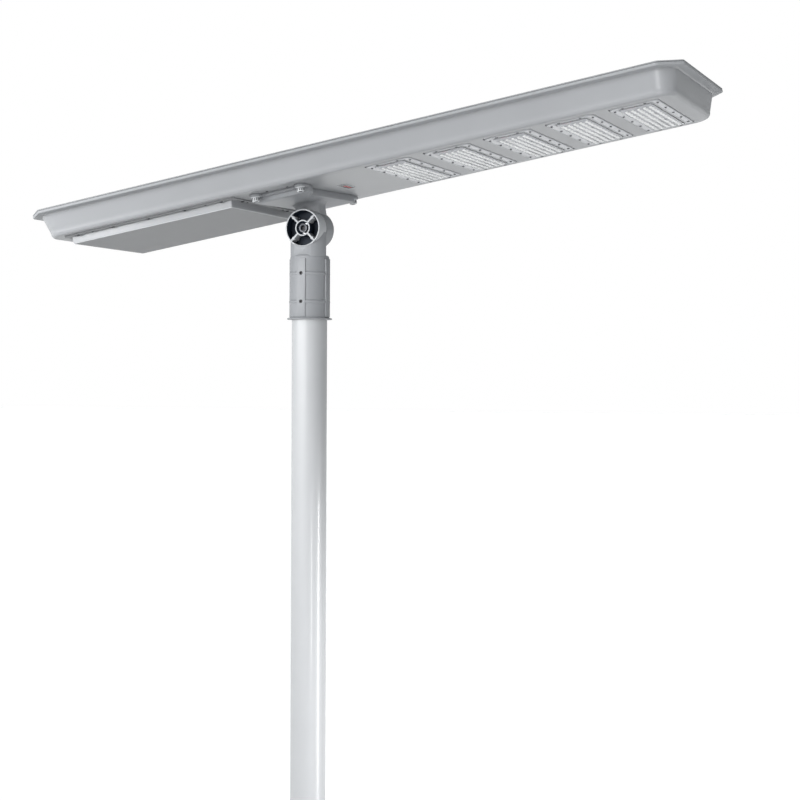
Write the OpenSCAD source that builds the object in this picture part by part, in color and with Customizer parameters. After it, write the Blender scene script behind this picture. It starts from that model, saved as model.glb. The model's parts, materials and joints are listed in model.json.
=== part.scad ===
// All-in-one solar street lamp on the top of its pole.
// Origin: centre of the pole's lower end. +Z up the pole, +X towards the light end of the head.

/* [Pole] */
// Outer diameter of the pole
pole_d = 60.3; // [48:0.1:76]
// Wall thickness of the pole
pole_wall = 3; // [2:0.1:5]
// Height of the tilt axis above the pole's lower end
pivot_h = 1200; // [900:1:2000]

/* [Head] */
// Length of the lamp head
head_l = 1170; // [1110:1:1500]
// Width of the lamp head
head_w = 337; // [320:1:460]
// Corner cut of the flange and the panel
head_chamfer = 34; // [25:1:45]
// Depth of the head from the panel face to its flat underside
head_depth = 46.5; // [45:0.5:60]
// Thickness of the flange
flange_t = 7; // [6.5:0.5:10]
// How far the flange stands out past the tray at the long sides
side_overhang = 14; // [12:0.5:18]
// How far the flange stands out past the tray at the ends
end_overhang = 14.5; // [12:0.5:24]
// Wall thickness of the tray
tray_wall = 3.5; // [3:0.1:4]
// How far the long walls lean inwards
side_lean = 13; // [4:0.5:14]
// How far the end walls lean inwards
end_lean = 7; // [4:0.5:14]
// Height of the soft lower edge of the tray
edge_h = 9; // [4:0.5:12]
// Tilt of the head above level, light end up
head_tilt = 9.5; // [0:0.5:30]

/* [Solar panel] */
// Width of the flange's rim around the panel
rim_w = 1.5; // [1:0.1:3]
// Thickness of the cover glass
glass_t = 3.2; // [2.5:0.1:4]
// Thickness of the back sheet
back_t = 0.8; // [0.5:0.1:1]
// Length of a solar cell across the head
cell_w = 145.6; // [120:0.1:146]
// Width of a solar cell along the head
cell_h = 89.5; // [60:0.1:90]
// Gap between neighbouring cells along the head
cell_gap = 2; // [1:0.1:3]
// Gap between the two columns of cells
column_gap = 7.2; // [4:0.1:10]
// Number of cells in a column
cell_rows = 12; // [4:1:12]
// Number of thin ribbons on a column
ribbon_count = 14; // [4:1:14]

/* [Light modules] */
// Distance from one module to the next
module_pitch = 103; // [95:1:110]
// Distance from the light end of the flange to the first module's centre
module_inset = 90.5; // [88:0.5:120]
// Length of a module's recess across the head
recess_w = 242; // [235:0.5:246]
// Width of a module's recess along the head
recess_l = 80; // [77:0.5:84]
// Depth of a module's recess
recess_d = 2; // [1:0.1:2.5]
// Length of the raised lens block
lens_w = 217.6; // [200:0.1:220]
// Width of the raised lens block
lens_l = 50.8; // [48:0.1:52]
// How far the lens block stands out of the recess floor
lens_h = 5.5; // [5.5:0.1:8]
// Thickness of the lens frame
lens_frame_t = 2.2; // [1.5:0.1:3]
// Columns of light chips on a module
chip_cols = 12; // [2:1:12]
// Rows of light chips on a module
chip_rows = 5; // [2:1:5]

/* [Knuckle] */
// Distance from the head's middle to the tilt axis, towards the battery end
pivot_back = 123; // [100:1:130]
// Distance from the panel face down to the tilt axis
pivot_drop = 105; // [102:0.5:120]
// Radius of the knuckle's two ears
ear_r = 32; // [28:0.5:34]
// Thickness of each ear
ear_t = 28.5; // [24:0.5:32]
// Gap between the ears
ear_gap = 2; // [1.6:0.1:3]
// Diameter of the pivot bolt
bolt_d = 10; // [8:1:12]
// Radial clearance of the pivot bolt in the ears
bolt_fit = 0.06; // [0.03:0.01:0.1]

/* [Sleeve] */
// Length from the tilt axis to the sleeve's lower end
sleeve_l = 155; // [140:1:200]
// Wall of the sleeve round the pole
sleeve_wall = 3.5; // [3:0.1:5]
// Radial clearance between the sleeve and the pole
sleeve_fit = 0.35; // [0.3:0.05:1]
// How far the flared lip stands out from the sleeve
lip_out = 4.5; // [2.5:0.5:6]
// Diameter of the set screws
set_screw_d = 6; // [5:1:8]

/* [Bracket] */
// Length of the bracket across the head
bracket_w = 185.6; // [180:0.1:200]
// Width of the bracket's ends along the head
bracket_l = 103; // [96:0.5:110]
// Width of the bracket's waist along the head
waist_l = 77; // [66:0.5:90]
// Height of the bracket below the underside
bracket_h = 12.5; // [10:0.5:15]
// Thickness of the bracket's screw ears
bracket_ear_t = 5; // [4:0.5:6]

/* [Battery bay] */
// Length of the battery cover along the head
cover_l = 338; // [330:1:345]
// Width of the battery cover across the head
cover_w = 250; // [248:0.5:252]
// Distance from the battery end of the flange to the cover
cover_inset = 51.5; // [50:0.5:60]
// Length of the raised box on the cover
box_l = 316; // [306:1:318]
// Width of the raised box on the cover
box_w = 230; // [228:0.5:232]
// Height of the raised box below the underside
box_h = 15; // [14.5:0.5:15.5]
// Wall thickness of the cover
cover_t = 2.5; // [2:0.1:3]
// Diameter of a battery cell
battery_d = 32.2; // [26:0.1:32.2]
// Length of a battery cell
battery_l = 70; // [60:0.5:70]
// Number of battery cells along the head
battery_cols = 8; // [4:1:8]

/* [Hidden] */

$fn = 64;
eps = 0.01;
soft_fn = 32;

// Clearances
touch = 0.3;
screw_fit = 0.05;
drop_in = 0.5;

// Heights in the head, measured down from the panel face
under_z = -head_depth;
floor_z = under_z + tray_wall;
seal_t = 0.5;
ribbon_t = 0.2;
cell_t = 0.3;
laminate_t = glass_t + ribbon_t + cell_t + back_t;
pocket_z = -(laminate_t + seal_t);
tray_hx = head_l / 2 - end_overhang;
tray_hy = head_w / 2 - side_overhang;
edge_in = 7;
corner_r = 38;

// Light modules
module_count = 5;
recess_z = under_z + recess_d;
pad_z = floor_z + 4.5;
thermal_t = 0.5;
board_t = 1.6;
chip_t = 0.8;
chip_side = 3;
chip_pitch_y = 16.2;
chip_pitch_x = 10;
gasket_t = 0.6;
gasket_w = 5;
frame_margin = 1.5;
lens_roof = 1.8;
lens_cavity = 1.3;
m_screw_y = 50.3;
m_screw_x = recess_l / 2 - 6.3;
m_screw_ends = 116.7;
m_screw_end_x = 8.8;
m_head_r = 2.3;
m_head_h = 1.4;
m_shank_r = 1.25;
m_shank_l = 7;
wire_hole_r = 4;
grommet_t = 1.2;
wire_y = -104;
wire_r = 1.3;
lead_r = 0.6;
trunk_r = 2.4;

// Knuckle and sleeve
ear_in = ear_gap / 2;
ear_out = ear_in + ear_t;
disc_t = ear_gap - 2 * touch;
face_wall = 2.2;
face_depth = 19;
boss_r = 13.7;
spoke_t = 3;
seat_depth = 14;
seat_r = 9.6;
bolt_head_h = bolt_d;
bolt_head_r = bolt_d * 0.8;
washer_t = 2;
nut_t = bolt_d * 0.8;
nut_r = bolt_d * 0.98;
sleeve_bore_r = pole_d / 2 + sleeve_fit;
sleeve_r = sleeve_bore_r + sleeve_wall;
lip_r = sleeve_r + lip_out;
shoulder_drop = 45.5;
stop_drop = 55;
taper = 1.2;
ring_drops = [77, 125];
ring_h = 6;
ring_out = 1.5;
pad_w = 16;
pad_out = 1;
lip_t = 3;
neck_w = 46;
sleeve_low = pivot_h - sleeve_l;

// Bracket
ear_screw_y = 106;
ear_screw_x = 41.9;
ear_reach = 9.4;
ear_hook = 16;
m8_r = 4;
m8_head_r = 6.5;
m8_head_h = 8;
m8_l = 12;

// Battery bay
cover_x = -head_l / 2 + cover_inset + cover_l / 2;
box_x = cover_x + 0.5;
gasket_h = 1;
cover_flange_t = 3;
cover_top_z = under_z - gasket_h;
box_z = under_z - box_h;
bay_l = box_l - 2 * cover_t - 7;
bay_w = box_w - 2 * cover_t - 3;
cell_pitch = battery_d + 1.3;
row_pitch = battery_l + 2;
holder_t = 4;
holder_h = battery_d + 3.6;
pack_z = box_z + cover_t + holder_h / 2;
pack_l = battery_cols * cell_pitch + 3;
pack_top = pack_z + holder_h / 2;
holder_fit = 0.1;
strip_t = 0.3;
strap_t = 1.5;
strap_w = 20;
strap_y = bay_w / 2 + 6;
strap_foot = 9;
strap_x = [-pack_l / 3, pack_l / 3];
cover_screw_y = cover_w / 2 - 3.6;
cover_screw_xs = [for (i = [-2:2]) i * 71.35];
cover_pin_xs = [-112.6, 112.6];
cover_end_ys = [-84.5, 84.5];
cover_end_pins = [-67, 67];
cover_end_x = cover_l / 2 - 4.5;

// Charge controller
ctrl_l = 104;
ctrl_w = 150;
ctrl_h = 20;
ctrl_wall = 2;
ctrl_lid_t = 2;
ctrl_top = floor_z + ctrl_h + ctrl_lid_t;
term_l = 12;
term_w = 44;
term_h = 11;
term_z = floor_z + 6;
term_mid_z = term_z + term_h / 2;
lead_ys = [4, 17];
trunk_y = -13;

// Indicator
window_x = -44;
window_l = 14.7;
window_w = 48.2;
window_t = 2;
window_lip = 2.5;

// Junction box
jb_l = 80;
jb_w = 56;
jb_h = 13;
jb_x = 10;
jb_z = -laminate_t - jb_h;

// Colours
cast_grey = [0.66, 0.68, 0.7];
steel_grey = [0.45, 0.46, 0.48];
dark_grey = [0.2, 0.21, 0.22];
board_white = [0.92, 0.93, 0.92];

// ---- frames -------------------------------------------------------------------------------

// Places a piece that is drawn in the head's own frame: middle of the panel face, level
module in_head() {
    translate([0, 0, pivot_h])
        rotate([0, -head_tilt, 0])
            translate([pivot_back, 0, pivot_drop])
                children();
}

// Places a piece drawn with Z along the pivot bolt, from the spoked face at z = 0 towards +Y
module along_bolt() {
    translate([0, -ear_out, pivot_h])
        rotate([-90, 0, 0])
            children();
}

function module_x(i) = head_l / 2 - module_inset - (i - 1) * module_pitch;

// ---- shared shapes ------------------------------------------------------------------------

module octagon(l, w, c) {
    x = l / 2;
    y = w / 2;
    polygon([[x - c, -y], [x, -y + c], [x, y - c], [x - c, y],
             [-x + c, y], [-x, y - c], [-x, -y + c], [-x + c, -y]]);
}

module corner_posts(hx, hy, r, z) {
    for (sx = [-1, 1])
        for (sy = [-1, 1])
            translate([sx * (hx - r), sy * (hy - r), z])
                cylinder(r = r, h = 0.1, $fn = soft_fn);
}

// The leaning tray: shrink draws its inside
module tray_shape(shrink, top_z, low_z) {
    hull() {
        corner_posts(tray_hx - shrink, tray_hy - shrink, corner_r - shrink, top_z);
        corner_posts(tray_hx - end_lean - shrink, tray_hy - side_lean - shrink,
                     corner_r - 4 - shrink, low_z + edge_h);
        corner_posts(tray_hx - end_lean - edge_in * 0.35 - shrink,
                     tray_hy - side_lean - edge_in * 0.35 - shrink,
                     corner_r - 8 - shrink, low_z + edge_h * 0.35);
        corner_posts(tray_hx - end_lean - edge_in - shrink, tray_hy - side_lean - edge_in - shrink,
                     corner_r - 12 - shrink, low_z);
    }
}

// A plate with rounded corners made of straight and round pieces only
module round_plate(l, w, r, h) {
    linear_extrude(h)
        round_rect(l, w, r);
}

module round_rect(l, w, r) {
    square([l - 2 * r, w], center = true);
    square([l, w - 2 * r], center = true);
    for (sx = [-1, 1])
        for (sy = [-1, 1])
            translate([sx * (l / 2 - r), sy * (w / 2 - r)])
                circle(r);
}

module plate_ring(l, w, r, band, h) {
    linear_extrude(h)
        difference() {
            round_rect(l, w, r);
            round_rect(l - 2 * band, w - 2 * band, max(r - band, 1));
        }
}

// Socket screw that points up: its head hangs below z = 0 and its shank rises above it
module socket_screw(head_r, head_h, shank_r, shank_l) {
    difference() {
        union() {
            translate([0, 0, -head_h])
                cylinder(r = head_r, h = head_h);
            translate([0, 0, -eps])
                cylinder(r = shank_r, h = shank_l + eps);
        }
        translate([0, 0, -head_h - eps])
            cylinder(r = head_r * 0.5, h = head_h * 0.6, $fn = 6);
    }
}

// Round wire with eight sides through a list of points
function unit(v) = v / norm(v);
function wire_way(p, i) = unit(p[min(i + 1, len(p) - 1)] - p[max(i - 1, 0)]);
function wire_side(t) = unit(cross(t, [0.13, 0.29, 0.95]));
module wire(p, r) {
    n = 8;
    rings = [for (i = [0:len(p) - 1])
        let (t = wire_way(p, i), u = wire_side(t), v = cross(t, u))
            for (k = [0:n - 1]) p[i] + r * (cos(k * 360 / n) * u + sin(k * 360 / n) * v)];
    last = (len(p) - 1) * n;
    sides = [for (i = [0:len(p) - 2])
        for (k = [0:n - 1])
            [i * n + k, (i + 1) * n + k, (i + 1) * n + (k + 1) % n, i * n + (k + 1) % n]];
    polyhedron(rings, concat(sides, [[for (k = [0:n - 1]) k]],
                             [[for (k = [0:n - 1]) last + n - 1 - k]]));
}

// ---- pole and sleeve ----------------------------------------------------------------------

module pole_tube() {
    color([0.86, 0.87, 0.88])
        difference() {
            cylinder(d = pole_d, h = pivot_h - stop_drop - touch);
            translate([0, 0, -eps])
                cylinder(r = pole_d / 2 - pole_wall, h = pivot_h);
        }
}

module sleeve_profile() {
    rotate_extrude()
        polygon(concat(
            [[0, sleeve_l - shoulder_drop], [0, sleeve_l - stop_drop],
             [sleeve_bore_r, sleeve_l - stop_drop], [sleeve_bore_r, 0],
             [lip_r, 0], [lip_r, lip_t * 0.6], [sleeve_r + taper, lip_t + 2.4]],
            [for (d = [ring_drops[1], ring_drops[0]])
                let (z = sleeve_l - d, r = sleeve_r + taper * d / sleeve_l)
                    for (q = [[0, -ring_h / 2], [ring_out, -ring_h / 4],
                              [ring_out, ring_h / 4], [0, ring_h / 2]])
                        [r + q[0], z + q[1]]],
            [[sleeve_r, sleeve_l - shoulder_drop - 4], [sleeve_r - 4, sleeve_l - shoulder_drop]]));
}

module sleeve_casting() {
    color(cast_grey)
        difference() {
            union() {
                translate([0, 0, sleeve_low])
                    sleeve_profile();
                // four flat pads up the socket
                for (a = [0:90:270])
                    rotate([0, 0, a])
                        translate([-pad_w / 2, -sleeve_r - taper - pad_out, sleeve_low + lip_t])
                            cube([pad_w, 10, sleeve_l - shoulder_drop - 6 - lip_t]);
                // arm from the socket to the ear
                intersection() {
                    translate([0, 0, pivot_h - shoulder_drop - 3])
                        cylinder(r = sleeve_r - 0.5, h = shoulder_drop + 3);
                    translate([-ear_r + 0.6, -ear_out, pivot_h - shoulder_drop - 3])
                        cube([2 * ear_r - 1.2, ear_t, shoulder_drop + 3]);
                }
                along_bolt()
                    cylinder(r = ear_r, h = ear_t);
            }
            // socket bore again, through the pads
            translate([0, 0, sleeve_low - eps])
                cylinder(r = sleeve_bore_r, h = sleeve_l - stop_drop + eps);
            // cored face with its spokes left standing
            along_bolt()
                translate([0, 0, -eps])
                    difference() {
                        cylinder(r = ear_r - face_wall, h = face_depth + eps);
                        translate([0, 0, -eps])
                            cylinder(r = boss_r, h = face_depth + 3 * eps);
                        for (a = [45, 135])
                            rotate([0, 0, a])
                                translate([-ear_r, -spoke_t / 2, -eps])
                                    cube([2 * ear_r, spoke_t, face_depth + 3 * eps]);
                        for (a = [45:90:315])
                            rotate([0, 0, a])
                                translate([ear_r * 0.72, 0, -eps])
                                    cylinder(r = 2.4, h = face_depth + 3 * eps);
                    }
            along_bolt() {
                translate([0, 0, -eps])
                    cylinder(r = seat_r, h = seat_depth + eps);
                cylinder(r = bolt_d / 2 + bolt_fit, h = ear_t + 1);
            }
            // set screw holes
            for (a = [0, 180])
                for (d = ring_drops)
                    rotate([0, 0, a])
                        translate([0, 0, pivot_h - d])
                            rotate([90, 0, 0])
                                cylinder(d = set_screw_d + 2 * screw_fit, h = sleeve_r + 10);
        }
}

module set_screws() {
    color(steel_grey)
        for (a = [0, 180])
            for (d = ring_drops)
                rotate([0, 0, a])
                    translate([0, -pole_d / 2 - touch, pivot_h - d])
                        rotate([90, 0, 0])
                            difference() {
                                cylinder(d = set_screw_d, h = 4);
                                translate([0, 0, 1.5])
                                    cylinder(d = set_screw_d * 0.55, h = 4, $fn = 6);
                            }
}

module pivot_bolt() {
    head_z = seat_depth - washer_t;
    color(steel_grey)
        along_bolt()
            difference() {
                union() {
                    translate([0, 0, head_z - bolt_head_h])
                        cylinder(r = bolt_head_r, h = bolt_head_h);
                    translate([0, 0, head_z - eps])
                        cylinder(d = bolt_d, h = 2 * ear_out + washer_t + nut_t + 3 - head_z);
                }
                translate([0, 0, head_z - bolt_head_h - eps])
                    cylinder(r = bolt_head_r * 0.55, h = bolt_head_h * 0.6, $fn = 6);
            }
}

module pivot_nut() {
    color(steel_grey)
        along_bolt()
            translate([0, 0, 2 * ear_out + touch + washer_t])
                difference() {
                    cylinder(r = nut_r, h = nut_t, $fn = 6);
                    translate([0, 0, -1])
                        cylinder(d = bolt_d + 2 * screw_fit, h = nut_t + 2);
                }
}

module pivot_washers() {
    color(steel_grey)
        along_bolt()
            for (z = [seat_depth - washer_t, 2 * ear_out + touch])
                translate([0, 0, z])
                    difference() {
                        cylinder(r = seat_r - 0.2, h = washer_t);
                        translate([0, 0, -1])
                            cylinder(d = bolt_d + 4 * screw_fit, h = washer_t + 2);
                    }
}

module friction_disc() {
    color(dark_grey)
        along_bolt()
            translate([0, 0, ear_t + touch])
                difference() {
                    cylinder(r = ear_r - 4, h = disc_t);
                    translate([0, 0, -1])
                        cylinder(d = bolt_d + 4 * screw_fit, h = disc_t + 2);
                }
}

// ---- bracket ------------------------------------------------------------------------------

module bracket_outline() {
    e = bracket_l / 2;
    w = waist_l / 2;
    y = bracket_w / 2;
    polygon([[e, -y], [e, -y + 16], [w, -y + 16 + (e - w) * 1.6], [w, y - 16 - (e - w) * 1.6],
             [e, y - 16], [e, y], [-e, y], [-e, y - 16], [-w, y - 16 - (e - w) * 1.6],
             [-w, -y + 16 + (e - w) * 1.6], [-e, -y + 16], [-e, -y]]);
}

module bracket_ears() {
    bridge = 2 * (bracket_w / 2 + 6.8);
    square([bracket_l - 6, bridge], center = true);
    for (sx = [-1, 1])
        for (sy = [-1, 1])
            translate([sx * ear_screw_x, sy * ear_screw_y]) {
                circle(r = ear_reach);
                translate([-ear_reach, sy > 0 ? -ear_hook : 0])
                    square([2 * ear_reach, ear_hook]);
            }
}

module mount_bracket() {
    color(cast_grey)
        difference() {
            union() {
                in_head()
                    translate([-pivot_back, 0, 0]) {
                        translate([0, 0, under_z - bracket_ear_t])
                            linear_extrude(bracket_ear_t)
                                bracket_ears();
                        translate([0, 0, under_z - bracket_h])
                            linear_extrude(bracket_h)
                                bracket_outline();
                        // neck down to the ear
                        translate([-neck_w / 2, ear_in + 0.5, 14 - pivot_drop])
                            cube([neck_w, ear_t - 1, pivot_drop - 14 - head_depth - bracket_h + 1]);
                        // foot of the neck
                        translate([-neck_w / 2 - 5, ear_in - 4, under_z - bracket_h - 3])
                            cube([neck_w + 10, ear_t + 8, 4]);
                    }
                translate([0, ear_in, pivot_h])
                    rotate([-90, 0, 0])
                        cylinder(r = ear_r, h = ear_t);
            }
            translate([0, 0, pivot_h])
                rotate([-90, 0, 0])
                    cylinder(r = bolt_d / 2 + bolt_fit, h = 2 * ear_out);
            // the bracket is cast hollow at both ends
            in_head()
                for (s = [-1, 1])
                    translate([-pivot_back, s * 62, under_z - bracket_h + 4])
                        linear_extrude(bracket_h)
                            square([waist_l - 16, 34], center = true);
            in_head()
                for (sx = [-1, 1])
                    for (sy = [-1, 1])
                        translate([sx * ear_screw_x - pivot_back, sy * ear_screw_y, under_z - 20])
                            cylinder(r = m8_r + 0.5, h = 30);
        }
}

module bracket_screws() {
    color(steel_grey)
        in_head()
            for (sx = [-1, 1])
                for (sy = [-1, 1])
                    translate([sx * ear_screw_x - pivot_back, sy * ear_screw_y,
                               under_z - bracket_ear_t])
                        socket_screw(m8_head_r, m8_head_h, m8_r, m8_l);
}

// ---- housing ------------------------------------------------------------------------------

module module_screw_places() {
    for (s = [-1, 1]) {
        for (i = [-2:2])
            translate([s * m_screw_x, i * m_screw_y, 0])
                children();
        for (t = [-1, 1])
            translate([s * m_screw_end_x * 2, t * m_screw_ends, 0])
                children();
    }
}

module cover_screw_places() {
    for (s = [-1, 1]) {
        for (x = concat(cover_screw_xs, cover_pin_xs))
            translate([cover_x + x, s * cover_screw_y, 0])
                children();
        for (y = concat(cover_end_ys, cover_end_pins))
            translate([cover_x + s * cover_end_x, y, 0])
                children();
    }
}

module strap_feet() {
    for (x = strap_x)
        for (s = [-1, 1])
            translate([box_x + x, s * (strap_y + strap_foot / 2), 0])
                children();
}

module breather_places() {
    for (s = [-1, 1])
        translate([cover_x - cover_l / 2 - 7.5, s * 86.5, 0])
            children();
}

module housing() {
    color(cast_grey)
        in_head()
            difference() {
                union() {
                    difference() {
                        union() {
                            tray_shape(0, -flange_t + 1, under_z);
                            translate([0, 0, -flange_t])
                                linear_extrude(flange_t)
                                    octagon(head_l, head_w, head_chamfer);
                        }
                        tray_shape(tray_wall, 1, floor_z);
                        translate([0, 0, pocket_z])
                            linear_extrude(20)
                                octagon(head_l - 2 * rim_w, head_w - 2 * rim_w, head_chamfer - rim_w);
                    }
                    // pads behind the light modules
                    for (i = [1:module_count])
                        translate([module_x(i) - recess_l / 2 - 2, -recess_w / 2 - 1.5,
                                   under_z + recess_d + eps])
                            cube([recess_l + 4, recess_w + 3, pad_z - recess_z - eps]);
                    // bosses for the bracket screws
                    for (sx = [-1, 1])
                        for (sy = [-1, 1])
                            translate([sx * ear_screw_x - pivot_back, sy * ear_screw_y, under_z + 1])
                                cylinder(r = 9, h = 14);
                }
                for (i = [1:module_count])
                    translate([module_x(i), 0, 0]) {
                        translate([0, 0, under_z - 1])
                            round_plate(recess_l, recess_w, 3, recess_d + 1);
                        translate([0, 0, recess_z - eps])
                            module_screw_places()
                                cylinder(r = m_shank_r + screw_fit, h = m_shank_l);
                        translate([0, wire_y, under_z - 1])
                            cylinder(r = wire_hole_r, h = 30);
                    }
                // battery bay opening
                translate([box_x - bay_l / 2, -bay_w / 2, under_z - 1])
                    cube([bay_l, bay_w, 10]);
                cover_screw_places()
                    translate([0, 0, under_z - 1])
                        cylinder(r = m_shank_r + screw_fit, h = 10);
                strap_feet()
                    translate([0, 0, under_z - 1])
                        cylinder(r = m_shank_r + screw_fit, h = 10);
                for (sx = [-1, 1])
                    for (sy = [-1, 1])
                        translate([sx * ear_screw_x - pivot_back, sy * ear_screw_y, under_z - 1])
                            cylinder(r = m8_r + screw_fit, h = 14);
                // indicator window and its ledge
                translate([window_x, 0, under_z - 1]) {
                    round_plate(window_l, window_w, 1.5, window_t + gasket_t + 1 - 0.4);
                    round_plate(window_l - 2 * window_lip, window_w - 2 * window_lip, 1, 10);
                }
                breather_places()
                    translate([0, 0, under_z - 1])
                        cylinder(r = 2.8, h = 20);
            }
}

module breather_plugs() {
    color(dark_grey)
        in_head()
            breather_places()
                translate([0, 0, under_z - 1.2])
                    difference() {
                        union() {
                            cylinder(r = 4.2, h = 1.2);
                            cylinder(r = 2.8 - screw_fit, h = 9);
                        }
                        translate([0, 0, -1])
                            cylinder(r = 1.4, h = 7);
                    }
}

// ---- solar panel --------------------------------------------------------------------------

module laminate_plate(top_z, t) {
    gap = rim_w + drop_in;
    translate([0, 0, top_z - t])
        linear_extrude(t)
            octagon(head_l - 2 * gap, head_w - 2 * gap, head_chamfer - gap * 0.6);
}

module panel_glass() {
    color([0.08, 0.1, 0.14, 0.5])
        in_head()
            laminate_plate(0, glass_t);
}

module panel_backsheet() {
    color([0.05, 0.06, 0.08])
        in_head()
            laminate_plate(-glass_t - ribbon_t - cell_t, back_t);
}

module panel_seal() {
    ring = 12;
    gap = rim_w + drop_in;
    color(dark_grey)
        in_head()
            translate([0, 0, pocket_z])
                linear_extrude(seal_t)
                    difference() {
                        octagon(head_l - 2 * gap, head_w - 2 * gap, head_chamfer - gap * 0.6);
                        octagon(head_l - 2 * ring, head_w - 2 * ring, head_chamfer - 2);
                    }
}

module cell_places() {
    for (c = [-1, 1])
        for (r = [0:cell_rows - 1])
            translate([(r - (cell_rows - 1) / 2) * (cell_h + cell_gap),
                       c * (cell_w + column_gap) / 2, 0])
                children();
}

module solar_cells() {
    color([0.04, 0.05, 0.1])
        in_head()
            cell_places()
                translate([-cell_h / 2, -cell_w / 2, -glass_t - ribbon_t - cell_t])
                    cube([cell_h, cell_w, cell_t]);
}

module cell_ribbons() {
    run = cell_rows * (cell_h + cell_gap) + 3;
    color([0.7, 0.72, 0.75])
        in_head()
            translate([0, 0, -glass_t - ribbon_t]) {
                for (c = [-1, 1])
                    for (k = [0:ribbon_count - 1])
                        translate([-run / 2, c * (cell_w + column_gap) / 2 - 0.5
                                   + (k - (ribbon_count - 1) / 2) * cell_w / ribbon_count, 0])
                            cube([run, 1, ribbon_t]);
                for (s = [-1, 1])
                    translate([s * (run / 2 + 2.5) - 2.5, -cell_w - column_gap / 2, 0])
                        cube([5, 2 * cell_w + column_gap, ribbon_t]);
            }
}

module junction_box() {
    color(dark_grey)
        in_head()
            translate([jb_x, 0, jb_z]) {
                difference() {
                    round_plate(jb_l, jb_w, 5, jb_h);
                    translate([0, 0, 2])
                        round_plate(jb_l - 5, jb_w - 5, 3, jb_h);
                }
                for (y = lead_ys)
                    translate([-jb_l / 2 - 7, y, jb_h / 2])
                        rotate([0, 90, 0])
                            difference() {
                                cylinder(r = 4, h = 8);
                                translate([0, 0, -1])
                                    cylinder(r = wire_r + touch, h = 12);
                            }
            }
}

module panel_leads() {
    start = jb_x - jb_l / 2 - 3;
    z = jb_z + jb_h / 2;
    goal = term_front();
    color([0.1, 0.1, 0.1])
        in_head()
            for (y = lead_ys)
                wire([[start, y, z], [start - 6, y, z], [start - 8.5, y, z - 2.5],
                      [goal + 6, y, term_mid_z + 3.5], [goal + 3.5, y, term_mid_z],
                      [goal - 3, y, term_mid_z]], wire_r);
}

// ---- light modules ------------------------------------------------------------------------

module led_lens(i) {
    color([0.95, 0.97, 1, 0.6])
        in_head()
            translate([module_x(i), 0, recess_z - gasket_t]) {
                difference() {
                    union() {
                        translate([0, 0, -lens_frame_t])
                            round_plate(recess_l - 2 * frame_margin, recess_w - 2 * frame_margin, 9,
                                        lens_frame_t);
                        translate([0, 0, -lens_h + gasket_t])
                            round_plate(lens_l, lens_w, 3, lens_h - gasket_t);
                    }
                    translate([0, 0, -lens_h + gasket_t + lens_roof])
                        round_plate(lens_l - 2 * lens_cavity, lens_w - 2 * lens_cavity, 2, 20);
                    translate([0, 0, -10])
                        module_screw_places()
                            cylinder(r = m_shank_r + screw_fit, h = 20);
                }
            }
}

module led_gasket(i) {
    color([0.85, 0.85, 0.83])
        in_head()
            translate([module_x(i), 0, recess_z - gasket_t])
                plate_ring(lens_l + 2 * gasket_w - 1, lens_w + 2 * gasket_w - 1, 6, gasket_w - 0.5,
                           gasket_t);
}

module led_board(i) {
    color(board_white)
        in_head()
            translate([module_x(i), 0, recess_z - thermal_t - board_t])
                difference() {
                    round_plate(lens_l - 2 * lens_cavity - 1, lens_w - 2 * lens_cavity - 1, 1.5,
                                board_t);
                    translate([0, wire_y, -1])
                        cylinder(r = wire_hole_r + 0.3, h = board_t + 2);
                }
}

module led_chips(i) {
    color([1, 0.93, 0.6])
        in_head()
            translate([module_x(i), 0, recess_z - thermal_t - board_t - chip_t])
                for (c = [0:chip_cols - 1])
                    for (r = [0:chip_rows - 1])
                        translate([(r - (chip_rows - 1) / 2) * chip_pitch_x - chip_side / 2,
                                   (c - (chip_cols - 1) / 2) * chip_pitch_y - chip_side / 2 + 3, 0])
                            cube([chip_side, chip_side, chip_t]);
}

module thermal_pads() {
    color([0.6, 0.6, 0.62])
        in_head()
            for (i = [1:module_count])
                translate([module_x(i), 0, recess_z - thermal_t])
                    difference() {
                        round_plate(lens_l - 2 * lens_cavity - 2, lens_w - 2 * lens_cavity - 2, 1.5,
                                    thermal_t);
                        translate([0, wire_y, -1])
                            cylinder(r = wire_hole_r + 0.3, h = 3);
                    }
}

module lens_screws() {
    color(steel_grey)
        in_head()
            for (i = [1:module_count])
                translate([module_x(i), 0, recess_z - gasket_t - lens_frame_t])
                    module_screw_places()
                        socket_screw(m_head_r, m_head_h, m_shank_r, m_shank_l);
}

module wire_grommets() {
    color(dark_grey)
        in_head()
            for (i = [1:module_count])
                translate([module_x(i), wire_y, recess_z + touch])
                    difference() {
                        union() {
                            cylinder(r = wire_hole_r - screw_fit, h = pad_z - recess_z - touch);
                            translate([0, 0, pad_z - recess_z - touch])
                                cylinder(r = wire_hole_r + 2, h = grommet_t);
                        }
                        translate([0, 0, -1])
                            cylinder(r = 2 * wire_r + 0.35, h = 20);
                    }
}

module led_leads() {
    low = recess_z - thermal_t - board_t;
    high = pad_z + grommet_t;
    color([0.7, 0.1, 0.1])
        in_head()
            for (i = [1:module_count])
                for (s = [-1, 1])
                    translate([module_x(i) + s * 1.1, wire_y, 0])
                        wire([[s * 3, 3, low - 0.75], [s * 1.2, 1.4, low - 0.75],
                              [0, 0, low + 0.6], [0, 0, low + 4], [0, 0, high + 0.6],
                              [0, -0.6, high + 1.6], [0, -3.2, high + 2.2]], lead_r);
}

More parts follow.
